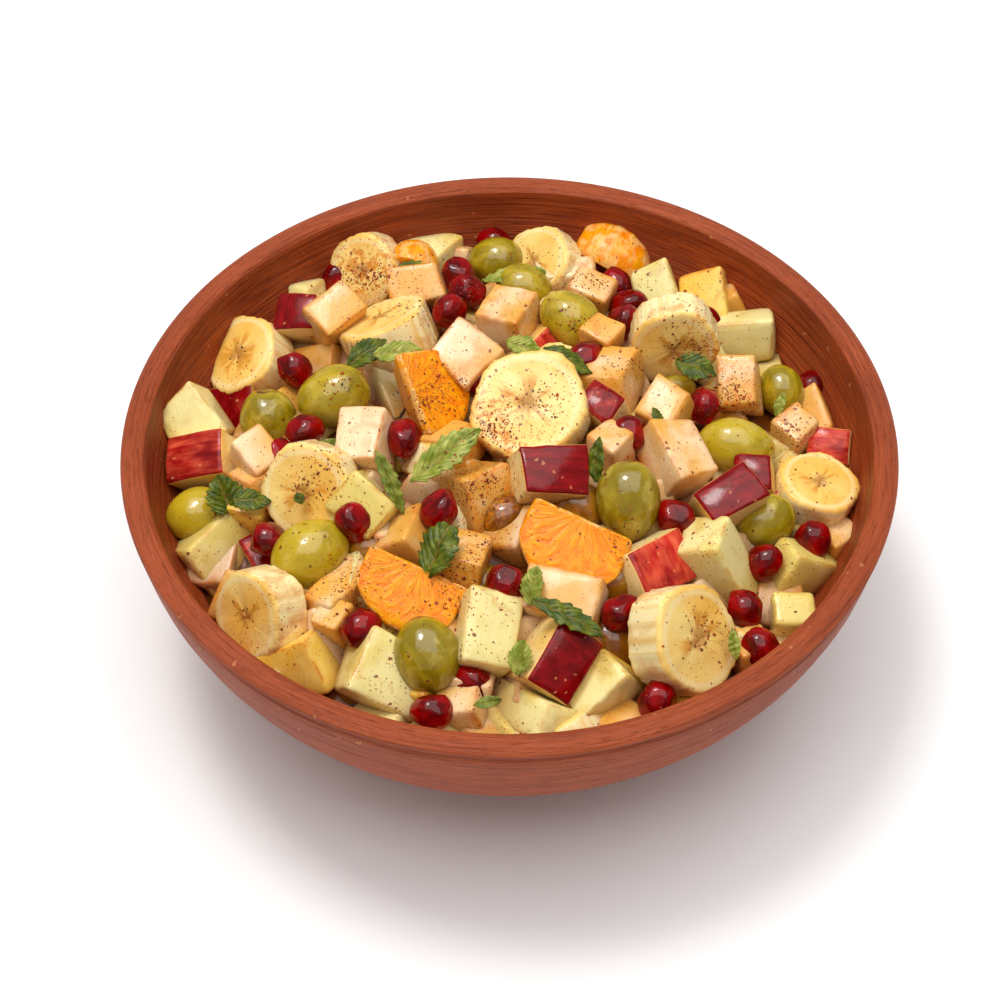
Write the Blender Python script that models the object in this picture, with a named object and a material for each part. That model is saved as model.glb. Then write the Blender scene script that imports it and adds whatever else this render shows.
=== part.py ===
"""A turned clay bowl heaped with cut fruit salad.

Two pieces: the bowl, and the salad in it as one solid whose top is the uneven outline of the fruit.
All sizes are in millimetres, and MM turns them into Blender's metres.
The origin is on the table under the middle of the bowl, and +Z is up.
"""

import math

import bmesh
import bpy
from mathutils import Matrix, Vector

for old in list(bpy.data.objects):
    bpy.data.objects.remove(old, do_unlink=True)

MM = 0.001

# The bowl
RIM_RADIUS = 103.3  # outside of the lip
RIM_HEIGHT = 70.0  # widest circle of the lip above the table
LIP_RISE = 1.5  # how much higher the lip's rounded top is
WALL = 6.7  # thickness at the lip
FLOOR = 8.0  # thickness under the food
OUTER_DEPTH = 78.0  # where the outside's ellipse would close, if the foot did not cut it off
SHOULDER = 0.7  # how far the wall stands in from the lip
GROOVE = 0.8  # depth of the turned groove under the lip
GROOVE_DEPTH = 2.4  # how far below the widest circle that groove runs
BOWL_SIDES = 48  # facets around the bowl

# The heap of fruit
HEAP_RADIUS = 94.0  # where the heap meets the wall
HEAP_DROP = 16.0  # how far below the rim it meets the wall
HEAP_RISE = 19.0  # how much higher the middle of the heap is than its edge
BED_DEPTH = 6.5  # from the heap's skin down to the bed that the top pieces sit in
BED_LUMPS = 2.5  # how far the bed rises and falls over the fruit inside it
LUMP_SPACING = 17.0  # from one lump to the next, the size of the fruit
GAP = 0.3  # clearance between the food and the clay

# The salad was dressed to face one side. The eye stands there, and the pieces of the top layer are set
# as it sees them: a spot on the heap, a lift towards the eye, and directions as angles in its view
# (0 is right, 90 is up), some with a rise towards the eye.
EYE = Vector((0.0, -363.0, 467.0))
SEED_SIZE = (10.0, 10.0, 12.0)  # a pomegranate seed
SEED_DEPTH = 3.5  # from the heap's skin down to a seed's middle

# Cut blocks of apple, melon and mango: (x, y, lift, angles of the three edges that leave the block's
# nearest corner, their lengths)
BLOCKS = (
    (-60, 71, 7, (162, 19, 265), (11, 11, 14)),
    (-56, 46, 3, (172, 75, 305), (12, 11, 14)),
    (-51, 41, 4, (126, 31, 255), (12, 15, 16)),
    (-77, 10, 3, (120, 212, 335), (17, 15, 14)),
    (-77, -7, 2, (82, 182, 320), (13, 17, 12)),
    (-68, -10, 2, (120, 25, 255), (12, 11, 14)),
    (-69, -13, 2, (150, 30, 275), (10, 11, 10)),
    (-66, -25, -1, (150, 45, 270), (10, 10, 11)),
    (-35, -10, 4, (75, 175, 300), (16, 13, 13)),
    (-21, 81, 2, (161, 43, 270), (15, 14, 14)),
    (-13, 87, 1, (176, 27, 268), (10, 13, 12)),
    (-19, 57, 1, (192, 100, 300), (15, 12, 12)),
    (-11, 13, 2, (138, 45, 270), (16, 15, 14)),
    (1, 42, 5, (170, 55, 285), (14, 15, 16)),
    (25, 71, 3, (187, 95, 279), (17, 8, 12)),
    (27, 54, 2, (159, 62, 268), (12, 10, 12)),
    (49, 59, 4, (112, 204, 320), (15, 12, 12)),
    (63, 56, 2, (105, 197, 330), (16, 13, 12)),
    (76, 67, 13, (125, 220, 312), (14, 13, 19)),
    (77, 61, 17, (192, 95, 283), (17, 11, 13)),
    (27, 33, 2, (150, 50, 270), (10, 9, 12)),
    (-14, -8, 2, (165, 40, 280), (13, 12, 10)),
    (-29, -27, 2, (135, 226, 0), (16, 12, 14)),
    (-11, -20, 5, (167, 22, 280), (15, 15, 15)),
    (4, -24, 4, (98, 3, 225), (14, 18, 12)),
    (26, 1, 0, (150, 55, 280), (11, 10, 12)),
    (27, -8, 3, (150, 40, 275), (10, 10, 13)),
    (31, 19, 5, (178, 65, 284), (13, 17, 13)),
    (43, 2, 2, (160, 62, 285), (12, 13, 12)),
    (45, -14, 5, (120, 10, 237), (19, 13, 13)),
    (53, -29, 3, (132, 39, 265), (11, 18, 12)),
    (68, 17, 4, (100, 192, 315), (15, 11, 12)),
    (91, 17, 1, (128, 220, 325), (14, 11, 12)),
    (79, 7, 3, (150, 48, 268), (10, 10, 13)),
    (93, 2, 1, (97, 188, 310), (11, 12, 12)),
    (70, -14, 1, (100, 192, 300), (11, 10, 12)),
    (-87, -30, 3, (29, 160, 297), (22, 13, 14)),
    (-45, -53, 3, (148, 35, 275), (10, 18, 14)),
    (-44, -60, 2, (150, 50, 296), (8, 9, 17)),
    (-52, -61, 4, (195, 30, 290), (17, 14, 15)),
    (-40, -74, 5, (60, 326, 193), (17, 20, 15)),
    (-27, -36, 3, (65, 195, 310), (13, 11, 12)),
    (-7, -44, 4, (62, 168, 265), (14, 12, 15)),
    (-9, -82, 1, (75, 185, 300), (11, 11, 11)),
    (11, -80, 4, (152, 247, 342), (22, 11, 12)),
    (-11, -69, 4, (82, 346, 215), (19, 14, 13)),
    (30, -71, 4, (138, 230, 326), (11, 19, 12)),
    (5, -73, 5, (60, 326, 175), (18, 14, 15)),
    (22, -60, 3, (170, 78, 290), (20, 12, 12)),
    (54, -34, 10, (196, 74, 305), (13, 13, 22)),
    (77, -33, 4, (142, 356, 246), (11, 17, 17)),
    (68, -54, 2, (108, 13, 262), (10, 12, 14)),
    (60, -64, 0, (140, 30, 270), (10, 10, 10)),
    (86, -27, -1, (150, 40, 280), (10, 10, 8)),
    (30, -40, 4, (32, 298, 200), (18, 14, 12)),
    (-60, -71, -1, (150, 40, 275), (15, 14, 14)),
    (-30, -87, -1, (160, 50, 285), (14, 14, 14)),
    (-4, -92, -1, (140, 30, 270), (14, 13, 14)),
    (26, -88, -1, (150, 45, 280), (15, 14, 14)),
    (46, -79, -1, (160, 40, 275), (14, 14, 14)),
    (70, -66, -1, (140, 35, 265), (13, 13, 14)),
)

# Banana slices: (x, y, lift, diameter, thickness, angle that the cut face leans to, its rise)
SLICES = (
    (-78, 43, 3, 25, 12, 135, 45),
    (-44, 77, 4, 22, 12, 180, 68),
    (-54, -18, 4, 25, 10, 190, 66),
    (-37, 49, 4, 27, 13, 110, 17),
    (5, 8, 7, 31, 12, 110, 70),
    (7, 78, 1, 23, 10, 150, 50),
    (46, 35, 4, 25, 11, 280, 55),
    (84, -6, 4, 22, 11, 75, 45),
    (-67, -53, 3, 24, 11, 185, 40),
    (48, -61, 6, 28, 12, 12, 46),
)

# Grapes: (x, y, lift, width, length, angle of the long axis, its rise)
GRAPES = (
    (-48, 15, 4, 17, 21, 18, 5), (-66, 11, 2, 16, 16, 90, 20), (-83, -19, 2, 15, 17, 10, 0),
    (-4, 77, 2, 15, 17, 0, 0), (4, 60, 1, 15, 17, 170, 0), (17, 45, 4, 15, 19, 150, 0),
    (31, -24, 5, 17, 22, 95, 10), (61, 0, 4, 15, 21, 358, 0), (76, 26, 3, 13, 15, 110, 0),
    (67, -24, 2, 15, 17, 25, 0), (-51, -38, 5, 18, 22, 30, 0), (-20, -68, 5, 17, 20, 105, 10),
    (18, -27, -4, 14, 16, 150, 0), (-1, -31, -5, 14, 15, 30, 0), (26, -48, -4, 13, 16, 20, 0),
    (26, -64, -1, 16, 18, 140, 0), (14, -85, -2, 14, 16, 20, 0), (-35, -38, -2, 13, 15, 10, 0),
    (50, 76, -1, 14, 17, 0, 0), (-50, -56, -2, 14, 16, 30, 0),
)

# Orange segments: (x, y, lift, length, height, way of the core's line, way from the core to the rind)
SEGMENTS = (
    (-25, -51, 3, 27, 17, (332, 0), (242, -15)),
    (16, -39, 4, 27, 21, (335, 0), (65, 10)),
    (-23, 12, 6, 23, 19, (288, 10), (10, -68)),
    (31, 85, 1, 25, 16, (335, 0), (70, 25)),
    (-29, 80, 0, 16, 14, (335, 0), (65, 30)),
)

# Pomegranate seeds: (x, y, lift)
SEEDS = (
    (-52, 74, 0), (-60, 29, 2), (-55, 3, 1), (-62, -5, 0), (-5, 91, 1), (11, 78, 1), (-15, 68, 1),
    (-12, 59, 0), (-17, 49, 1), (31, 66, 1), (34, 55, 0), (32, 45, 0), (56, 51, 1), (21, 27, 0),
    (-28, -3, 1), (-10, 17, 1), (-18, -28, 3), (-40, -30, 3), (32, -1, 1), (53, 13, 1), (43, -27, 0),
    (85, 31, -1), (80, -27, 1), (-62, -32, 1), (-37, -60, 3), (-9, -75, -3), (-19, -82, 1),
    (-1, -50, 2), (64, -61, 1), (29, -56, 2), (37, -78, 2), (60, -51, -2), (66, -37, -2),
)


def skin(x, y):
    """Height of the heap's skin above the table at a spot."""
    return RIM_HEIGHT - HEAP_DROP + HEAP_RISE * (1 - (x * x + y * y) / HEAP_RADIUS**2)


def material(name, colour, roughness):
    made = bpy.data.materials.new(name)
    made.use_nodes = True
    shader = made.node_tree.nodes["Principled BSDF"]
    shader.inputs["Base Color"].default_value = (*colour, 1.0)
    shader.inputs["Roughness"].default_value = roughness
    shader.inputs["Metallic"].default_value = 0.0
    return made


def new_object(name, mesh_maker, finish=None):
    """Makes a named object from a bmesh that is drawn in millimetres."""
    mesh = bpy.data.meshes.new(name)
    mesh_maker.transform(Matrix.Scale(MM, 4))
    bmesh.ops.recalc_face_normals(mesh_maker, faces=mesh_maker.faces)
    mesh_maker.to_mesh(mesh)
    mesh_maker.free()
    made = bpy.data.objects.new(name, mesh)
    bpy.context.scene.collection.objects.link(made)
    if finish:
        mesh.materials.append(finish)
    return made


def turned(outline, sides):
    """A bmesh turned from (radius, height) points that start and end on the axis."""
    work = bmesh.new()
    points = [work.verts.new((radius, 0.0, height)) for radius, height in outline]
    edges = [work.edges.new(pair) for pair in zip(points, points[1:])]
    bmesh.ops.spin(work, geom=points + edges, cent=(0, 0, 0), axis=(0, 0, 1), angle=math.tau, steps=sides)
    bmesh.ops.remove_doubles(work, verts=work.verts, dist=0.001)
    return work


def outer_radius(depth):
    """Radius of the bowl's outside, depth millimetres under the rim."""
    return RIM_RADIUS * math.sqrt(1 - (depth / OUTER_DEPTH) ** 2)


def inner_outline(clearance, steps=9):
    """The inside of the bowl from its middle up to the lip, moved in by a clearance."""
    radius = RIM_RADIUS - WALL - clearance
    depth = RIM_HEIGHT - FLOOR - clearance
    outline = []
    for step in range(steps + 1):
        angle = math.radians(90) * step / steps
        outline.append((radius * math.sin(angle), RIM_HEIGHT - depth * math.cos(angle)))
    return outline


def bowl_outline():
    """The bowl's whole section, from the middle of the foot round the lip to the middle of the inside."""
    foot_edge = 2.0
    foot = [(0.0, 0.0), (outer_radius(RIM_HEIGHT) - foot_edge, 0.0)]
    side = []
    steps = 7
    lowest = RIM_HEIGHT - 1.5
    highest = GROOVE_DEPTH + 2.0
    for step in range(steps + 1):
        depth = lowest + (highest - lowest) * (step / steps) ** 0.8
        side.append((outer_radius(depth) - SHOULDER, RIM_HEIGHT - depth))
    groove = [(outer_radius(GROOVE_DEPTH) - SHOULDER - GROOVE, RIM_HEIGHT - GROOVE_DEPTH)]
    middle = RIM_RADIUS - WALL / 2
    lip = []
    for angle in range(0, 181, 36):
        across = math.cos(math.radians(angle)) * WALL / 2
        up = math.sin(math.radians(angle)) * LIP_RISE
        lip.append((middle + across, RIM_HEIGHT + up))
    inside = inner_outline(0.0)[-2::-1]
    return foot + side + groove + lip + inside


def block(size):
    """A block as the knife leaves it."""
    work = bmesh.new()
    bmesh.ops.create_cube(work, size=1.0, matrix=Matrix.Diagonal((*size, 1.0)))
    return work


def slice_of_banana(diameter, thickness):
    """A round slice with flat cut faces."""
    work = bmesh.new()
    radius = diameter / 2
    bmesh.ops.create_cone(work, cap_ends=True, segments=12, radius1=radius, radius2=radius, depth=thickness)
    return work


def ball(size, across, up):
    """A long ball: a grape, or a pomegranate seed, whose few flats its neighbours pressed into it."""
    work = bmesh.new()
    bmesh.ops.create_uvsphere(work, u_segments=across, v_segments=up, radius=0.5)
    bmesh.ops.scale(work, vec=size, verts=work.verts)
    return work


def segment(length, height):
    """Half an orange segment: round on its outer side, and thin along its inner edge."""
    work = bmesh.new()
    steps = 6
    thick = 0.6 * height
    for side in (-1, 1):
        work.verts.new((side * length * 0.4, 0.0, -height / 2))
    for face in (-1, 1):
        rim = []
        for step in range(steps + 1):
            angle = math.pi * step / steps
            rim.append((math.cos(angle) * length / 2, face * thick / 2 * math.sin(angle) ** 0.5,
                        (math.sin(angle) - 0.5) * height))
        for point in rim:
            work.verts.new(point)
    hull = bmesh.ops.convex_hull(work, input=work.verts)
    spare = set(hull["geom_interior"] + hull["geom_unused"])
    loose = [item for item in spare if isinstance(item, bmesh.types.BMVert)]
    bmesh.ops.delete(work, geom=loose, context="VERTS")
    bmesh.ops.remove_doubles(work, verts=work.verts, dist=0.01)
    return work


def view_axes(spot):
    """Right, up and towards the eye, for a spot on the heap."""
    toward = (EYE - spot).normalized()
    right = Vector((0, 0, 1)).cross(toward).normalized()
    return right, toward.cross(right), toward


def pointing(spot, angle, rise):
    """A direction at that angle in the view, raised towards the eye."""
    right, up, toward = view_axes(spot)
    angle = math.radians(angle)
    rise = math.radians(rise)
    return math.cos(rise) * (math.cos(angle) * right + math.sin(angle) * up) + math.sin(rise) * toward


def square_axes(first, third):
    """A turn whose x axis is the first vector and whose z axis is as near the third as it can be."""
    x_axis = first.normalized()
    z_axis = (third - third.dot(x_axis) * x_axis).normalized()
    return Matrix((x_axis, z_axis.cross(x_axis), z_axis)).transposed().to_4x4()


def facing(spot, angle, rise):
    """A turn whose z axis points that way."""
    return square_axes(pointing(spot, angle + 90, 0), pointing(spot, angle, rise))


def edges_from_corner(spot, angles):
    """The three square edges of a block that leave its nearest corner at these angles in the view.

    Three edges of seen lengths r at angles a are square to each other when the sum of r squared is 2
    and the sums of r squared times the cosine and the sine of 2a are both 0.
    """
    doubled = [math.radians(2 * angle) for angle in angles]
    table = Matrix(([1.0, 1.0, 1.0], [math.cos(a) for a in doubled], [math.sin(a) for a in doubled]))
    seen = table.inverted() @ Vector((2.0, 0.0, 0.0))
    edges = []
    for angle, square in zip(angles, seen):
        length = math.sqrt(min(max(square, 0.02), 0.998))
        edges.append(pointing(spot, angle, -math.degrees(math.acos(length))))
    return edges


def block_place(spot, angles, size):
    """The turn of a block, and the way from its nearest corner to its middle."""
    edges = edges_from_corner(spot, angles)
    middle = Vector((0.0, 0.0, 0.0))
    for edge, length in zip(edges, size):
        middle += edge * length / 2
    return square_axes(edges[0], -edges[2]), middle


def fruit_pieces():
    """Every piece of the top layer, as (name, bmesh, spot, turning, middle measured from the spot)."""
    for n, (x, y, lift, angles, size) in enumerate(BLOCKS):
        spot = Vector((x, y, skin(x, y)))
        turning, middle = block_place(spot, angles, size)
        yield f"block_{n:02d}", block(size), spot, turning, middle + view_axes(spot)[2] * lift
    for n, (x, y, lift, diameter, thickness, angle, rise) in enumerate(SLICES):
        spot = Vector((x, y, skin(x, y)))
        middle = view_axes(spot)[2] * lift - pointing(spot, angle, rise) * thickness / 2
        yield f"slice_{n:02d}", slice_of_banana(diameter, thickness), spot, facing(spot, angle, rise), middle
    for n, (x, y, lift, width, length, angle, rise) in enumerate(GRAPES):
        spot = Vector((x, y, skin(x, y)))
        middle = view_axes(spot)[2] * (lift - width / 2)
        yield f"grape_{n:02d}", ball((width, width, length), 8, 6), spot, facing(spot, angle, rise), middle
    for n, (x, y, lift, length, height, core, rind) in enumerate(SEGMENTS):
        spot = Vector((x, y, skin(x, y)))
        turning = square_axes(pointing(spot, *core), pointing(spot, *rind))
        middle = view_axes(spot)[2] * (lift - 0.3 * height)
        yield f"segment_{n:02d}", segment(length, height), spot, turning, middle
    for n, (x, y, lift) in enumerate(SEEDS):
        spot = Vector((x, y, skin(x, y)))
        middle = view_axes(spot)[2] * (lift - SEED_DEPTH)
        yield f"seed_{n:02d}", ball(SEED_SIZE, 6, 4), spot, facing(spot, 60 + 67 * n, 15), middle


def helper(made):
    """Marks an object as a tool for a Boolean, not a piece of the dish."""
    made.hide_render = True
    made.display_type = "WIRE"
    return made


def shells(work):
    """The groups of faces in a bmesh that hang together."""
    waiting = set(work.faces)
    while waiting:
        group = {waiting.pop()}
        to_visit = list(group)
        while to_visit:
            for edge in to_visit.pop().edges:
                for face in edge.link_faces:
                    if face in waiting:
                        waiting.remove(face)
                        group.add(face)
                        to_visit.append(face)
        yield group


def fill_pockets(joined):
    """Applies an object's Booleans and fills the air pockets sealed between its pieces."""
    graph = bpy.context.evaluated_depsgraph_get()
    work = bmesh.new()
    work.from_object(joined, graph)
    bmesh.ops.remove_doubles(work, verts=work.verts, dist=0.002 * MM)
    bmesh.ops.dissolve_degenerate(work, edges=work.edges, dist=0.002 * MM)
    groups = sorted(shells(work), key=len)
    pockets = [face for group in groups[:-1] for face in group]
    bmesh.ops.delete(work, geom=pockets, context="FACES")
    joined.modifiers.clear()
    work.to_mesh(joined.data)
    work.free()


def make_bowl():
    clay = material("clay", (0.42, 0.12, 0.06), 0.55)
    bowl = new_object("bowl", turned(bowl_outline(), BOWL_SIDES), clay)
    bowl.data.shade_smooth()
    bowl.data.set_sharp_from_angle(angle=math.radians(35))
    return bowl


def lumpy_bed():
    """The fruit that the top pieces sit on: a low mound with a lump for each piece inside it."""
    reach = RIM_RADIUS + 5.0
    rings = 8
    outline = [(0.0, FLOOR - 5.0), (reach, FLOOR - 5.0)]
    for step in range(rings, -1, -1):
        radius = reach * step / rings
        outline.append((radius, skin(radius, 0.0) - BED_DEPTH))
    bed = turned(outline, 28)
    wave = math.tau / LUMP_SPACING
    for point in bed.verts:
        if point.co.z > FLOOR:
            lump = math.sin(wave * point.co.x + 0.9) * math.sin(wave * point.co.y + 0.4)
            point.co.z += BED_LUMPS * lump
    return bed


def make_salad():
    """The bed of hidden fruit, joined with the top layer and cut to the inside of the bowl."""
    salad = new_object("salad_heap", lumpy_bed(), material("fruit", (0.80, 0.62, 0.28), 0.35))
    pieces = bpy.data.collections.new("top_layer")
    bpy.context.scene.collection.children.link(pieces)
    for name, work, spot, turning, middle in fruit_pieces():
        piece = helper(new_object(name, work))
        bpy.context.scene.collection.objects.unlink(piece)
        pieces.objects.link(piece)
        piece.matrix_world = Matrix.Translation((spot + middle) * MM) @ turning
    join = salad.modifiers.new("join", "BOOLEAN")
    join.operation = "UNION"
    join.operand_type = "COLLECTION"
    join.collection = pieces
    join.solver = "EXACT"
    lid = RIM_HEIGHT + 40.0
    inside = inner_outline(GAP)
    room = inside + [(inside[-1][0], lid), (0.0, lid)]
    cavity = helper(new_object("cavity", turned(room, BOWL_SIDES)))
    trim = salad.modifiers.new("trim", "BOOLEAN")
    trim.operation = "INTERSECT"
    trim.object = cavity
    trim.solver = "EXACT"
    trim.use_self = True
    fill_pockets(salad)
    return salad


make_bowl()
make_salad()
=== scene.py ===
# %% [markdown]
# # Fruit salad in a clay bowl
#
# The real dish is a turned clay bowl heaped with knife-cut fruit: apple and melon cubes, banana slices,
# grapes, orange segments, pomegranate seeds, torn mint, and a dusting of chilli and pepper in thin juice.
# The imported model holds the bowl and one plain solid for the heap. This notebook builds the real surface
# of both. Lengths are in millimetres while we shape things, and each mesh is scaled to metres at the end.

import math

import bmesh
import bpy
import numpy as np
from mathutils import Matrix, Vector
from mathutils.bvhtree import BVHTree


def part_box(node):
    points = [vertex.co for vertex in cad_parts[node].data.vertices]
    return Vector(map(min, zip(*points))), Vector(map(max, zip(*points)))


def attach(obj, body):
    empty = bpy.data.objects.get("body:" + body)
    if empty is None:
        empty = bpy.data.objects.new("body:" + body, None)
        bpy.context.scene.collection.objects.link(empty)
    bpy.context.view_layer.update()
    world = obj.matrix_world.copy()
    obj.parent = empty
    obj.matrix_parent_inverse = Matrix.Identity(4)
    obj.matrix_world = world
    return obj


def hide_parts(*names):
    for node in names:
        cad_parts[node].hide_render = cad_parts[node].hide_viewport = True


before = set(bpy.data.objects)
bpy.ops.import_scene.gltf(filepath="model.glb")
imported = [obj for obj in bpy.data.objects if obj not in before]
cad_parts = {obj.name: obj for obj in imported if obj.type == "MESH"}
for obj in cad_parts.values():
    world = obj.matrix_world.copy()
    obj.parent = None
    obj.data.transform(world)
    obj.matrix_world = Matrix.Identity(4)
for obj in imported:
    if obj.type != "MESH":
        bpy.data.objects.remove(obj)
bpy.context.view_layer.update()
print("packed nodes:", sorted(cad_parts))

# %% [markdown]
# ## Sizes
#
# The bowl's outside size comes from the imported node, so a new model.glb carries straight through. The wall,
# lip and heap are then measured from the rim, the way a potter or a cook would describe them.

# %% Sizes of the bowl and the heap
MM = 0.001
bowl_low, bowl_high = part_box("bowl")
LIP_RISE = 1.5
RIM_RADIUS = bowl_high.x / MM
RIM_HEIGHT = bowl_high.z / MM - LIP_RISE
WALL = 6.7
FLOOR = 8.0
OUTER_DEPTH = 78.0
GROOVE = 0.45
GROOVE_DEPTH = 2.4
SHOULDER = 0.7
INNER_RADIUS = RIM_RADIUS - WALL
INNER_DEPTH = RIM_HEIGHT - FLOOR
HEAP_RADIUS = 94.0
HEAP_DROP = 16.0
HEAP_RISE = 19.0
print(f"rim {2 * RIM_RADIUS:.0f} mm across, {RIM_HEIGHT:.0f} mm high")


def skin(x, y):
    """Height of the heap's skin over the table at a spot."""
    return RIM_HEIGHT - HEAP_DROP + HEAP_RISE * (1 - (x * x + y * y) / HEAP_RADIUS**2)


# %% [markdown]
# ## Camera
#
# A long lens about half a metre away looks down on the bowl, a little steeper than 45 degrees. The camera
# aims just under the rim's middle, so that the bowl sits a bit high in the picture. Aiming does the framing
# here rather than lens shift, because shift would follow the camera into every other view.

# %% Camera
rim_middle = Vector((0, 0, RIM_HEIGHT * MM))
ELEVATION = math.radians(47.6)
DISTANCE = 0.538
camera = bpy.data.objects.new("camera", bpy.data.cameras.new("camera"))
bpy.context.scene.collection.objects.link(camera)
bpy.context.scene.camera = camera
camera.data.lens = 72.4
camera.location = rim_middle + DISTANCE * Vector((0, -math.cos(ELEVATION), math.sin(ELEVATION)))
AIM_DOWN = math.radians(1.94)
AIM_LEFT = math.radians(0.39)
camera.rotation_euler = (math.radians(90) - ELEVATION - AIM_DOWN, 0, AIM_LEFT)
print("camera at", [round(value, 3) for value in camera.location])

# %% [markdown]
# ## A small kit for finishes
#
# Every finish here is a node tree around one Principled shader. Writing a tree node by node is long, so this
# class adds one node per call and hands back its output socket. Colours are typed as they look on a screen,
# from 0 to 255, and `tint` turns them into the linear values that a renderer mixes.


# %% Finish kit
def tint(red, green, blue):
    """A screen colour from 0 to 255 as linear red, green, blue and full opacity."""
    parts = [value / 255 for value in (red, green, blue)]
    linear = [c / 12.92 if c <= 0.04045 else ((c + 0.055) / 1.055) ** 2.4 for c in parts]
    return (*linear, 1.0)


class Finish:
    """A material with one Principled shader, built a node at a time."""

    def __init__(self, name, roughness, **sockets):
        self.material = bpy.data.materials.new(name)
        self.material.use_nodes = True
        self.tree = self.material.node_tree
        self.shader = self.tree.nodes["Principled BSDF"]
        self.shader.inputs["Roughness"].default_value = roughness
        for socket, value in sockets.items():
            self.shader.inputs[socket.replace("_", " ")].default_value = value

    def node(self, kind, inputs, **settings):
        """Adds a node; inputs are numbers, colours or other nodes' outputs, by socket name or place."""
        made = self.tree.nodes.new(kind)
        for name, value in settings.items():
            setattr(made, name, value)
        for name, value in inputs.items():
            if isinstance(value, bpy.types.NodeSocket):
                self.tree.links.new(value, made.inputs[name])
            else:
                made.inputs[name].default_value = value
        return made

    def value(self, name):
        """A number that the mesh stores at each point."""
        return self.node("ShaderNodeAttribute", {}, attribute_name=name).outputs["Fac"]

    def vector(self, name):
        """A vector that the mesh stores at each point."""
        return self.node("ShaderNodeAttribute", {}, attribute_name=name).outputs["Vector"]

    def place(self):
        """Each surface point's place in the object, in metres."""
        return self.node("ShaderNodeTexCoord", {}).outputs["Object"]

    def stretched(self, vector, scale):
        return self.node("ShaderNodeMapping", {"Vector": vector, "Scale": scale}).outputs[0]

    def noise(self, vector, scale, detail=3.0, distortion=0.0):
        inputs = {"Vector": vector, "Scale": scale, "Detail": detail, "Distortion": distortion}
        return self.node("ShaderNodeTexNoise", inputs).outputs["Fac"]

    def cells(self, vector, scale):
        """How far each point is from the middle of its cell."""
        return self.node("ShaderNodeTexVoronoi", {"Vector": vector, "Scale": scale}).outputs["Distance"]

    def math(self, operation, first, second=0.0):
        return self.node("ShaderNodeMath", {0: first, 1: second}, operation=operation).outputs[0]

    def span(self, value, low, high, to_low=0.0, to_high=1.0):
        """Maps low..high smoothly to to_low..to_high and holds the ends."""
        inputs = {"Value": value, "From Min": low, "From Max": high, "To Min": to_low, "To Max": to_high}
        return self.node("ShaderNodeMapRange", inputs, interpolation_type="SMOOTHSTEP").outputs["Result"]

    def specks(self, vector, scale, size, share):
        """Separate small dots: one to a cell of the scale, in that share of the cells."""
        noise = self.node("ShaderNodeTexNoise", {"Vector": vector, "Scale": scale * 1.7, "Detail": 1.0})
        warped = noise.outputs["Color"]
        bent = self.node("ShaderNodeVectorMath", {0: warped, 3: 0.6 / scale}, operation="SCALE").outputs[0]
        moved = self.node("ShaderNodeVectorMath", {0: vector, 1: bent}, operation="ADD").outputs[0]
        cells = self.node("ShaderNodeTexVoronoi", {"Vector": moved, "Scale": scale})
        chosen = self.node("ShaderNodeSeparateColor", {0: cells.outputs["Color"]})
        smaller = self.math("MULTIPLY", chosen.outputs[1], size * 0.6)
        near = self.math("SUBTRACT", cells.outputs["Distance"], smaller)
        dot = self.span(near, size * 0.3, size * 0.5, 1.0, 0.0)
        return self.math("MULTIPLY", dot, self.math("LESS_THAN", chosen.outputs[0], share))

    def spiced(self, colour, place, amount=1.0):
        """Lays a film and specks of chilli and pepper over a colour, thickest where the spoon tapped."""
        tapped = self.value("dusting")
        where = self.span(self.noise(place, 75.0, 3.0), 0.42, 0.66, 0.04 * amount, 0.4 * amount)
        where = self.math("ADD", where, self.math("MULTIPLY", tapped, 0.5))
        cloud = self.math("ADD", self.noise(place, 620.0, 4.0), self.math("MULTIPLY", where, 0.15))
        film = self.math("MULTIPLY", self.span(cloud, 0.58, 0.74), self.span(where, 0.1, 0.8))
        colour = self.mix(self.math("MULTIPLY", film, 0.8), colour, tint(222, 134, 20))
        fine = self.specks(place, 1500.0, 0.36, where)
        colour = self.mix(self.math("MULTIPLY", fine, 0.85), colour, tint(172, 60, 6))
        coarse = self.specks(place, 620.0, 0.34, self.math("MULTIPLY", where, 0.45))
        return self.mix(self.math("MULTIPLY", coarse, 0.85), colour, tint(126, 40, 6))

    def soaked_and_shaded(self, colour, amount=0.75):
        """Darkens a colour towards amber the deeper a point lies in the heap: painted shade between the
        pieces, with some juice stain.
        """
        deep = self.span(self.value("depth"), 1.0, 13.0, 0.0, amount)
        return self.mix(deep, colour, tint(136, 66, 8))

    def mix(self, share, first, second):
        """The first colour with that share of the second laid over it."""
        made = self.node("ShaderNodeMix", {}, data_type="RGBA")
        for place, value in ((0, share), (6, first), (7, second)):
            if isinstance(value, bpy.types.NodeSocket):
                self.tree.links.new(value, made.inputs[place])
            else:
                made.inputs[place].default_value = value
        return made.outputs[2]

    def relief(self, height, depth, below=None):
        """Adds bump of a depth in millimetres, on top of an earlier one."""
        inputs = {"Height": height, "Distance": depth * MM}
        if below is not None:
            inputs["Normal"] = below
        return self.node("ShaderNodeBump", inputs).outputs[0]

    def finish(self, **links):
        """Joins outputs to the shader's sockets and returns the material."""
        for socket, output in links.items():
            self.tree.links.new(output, self.shader.inputs[socket.replace("_", " ")])
        return self.material


# %% [markdown]
# ## From loose points to objects
#
# Each kind of fruit becomes one mesh that joins all its pieces. A piece is a set of points and faces made
# around its own middle. A `Tray` moves each piece into the heap, presses what would stick through the clay
# back to the wall, and remembers for every point where it sat in its own piece (`spot`), how near a cut edge
# it is (`rim`) and a value that differs from piece to piece (`tone`). It also stores how thickly the spice
# lies there (`dusting`) and how far down in the heap the point is (`depth`). The finishes read these.


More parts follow.
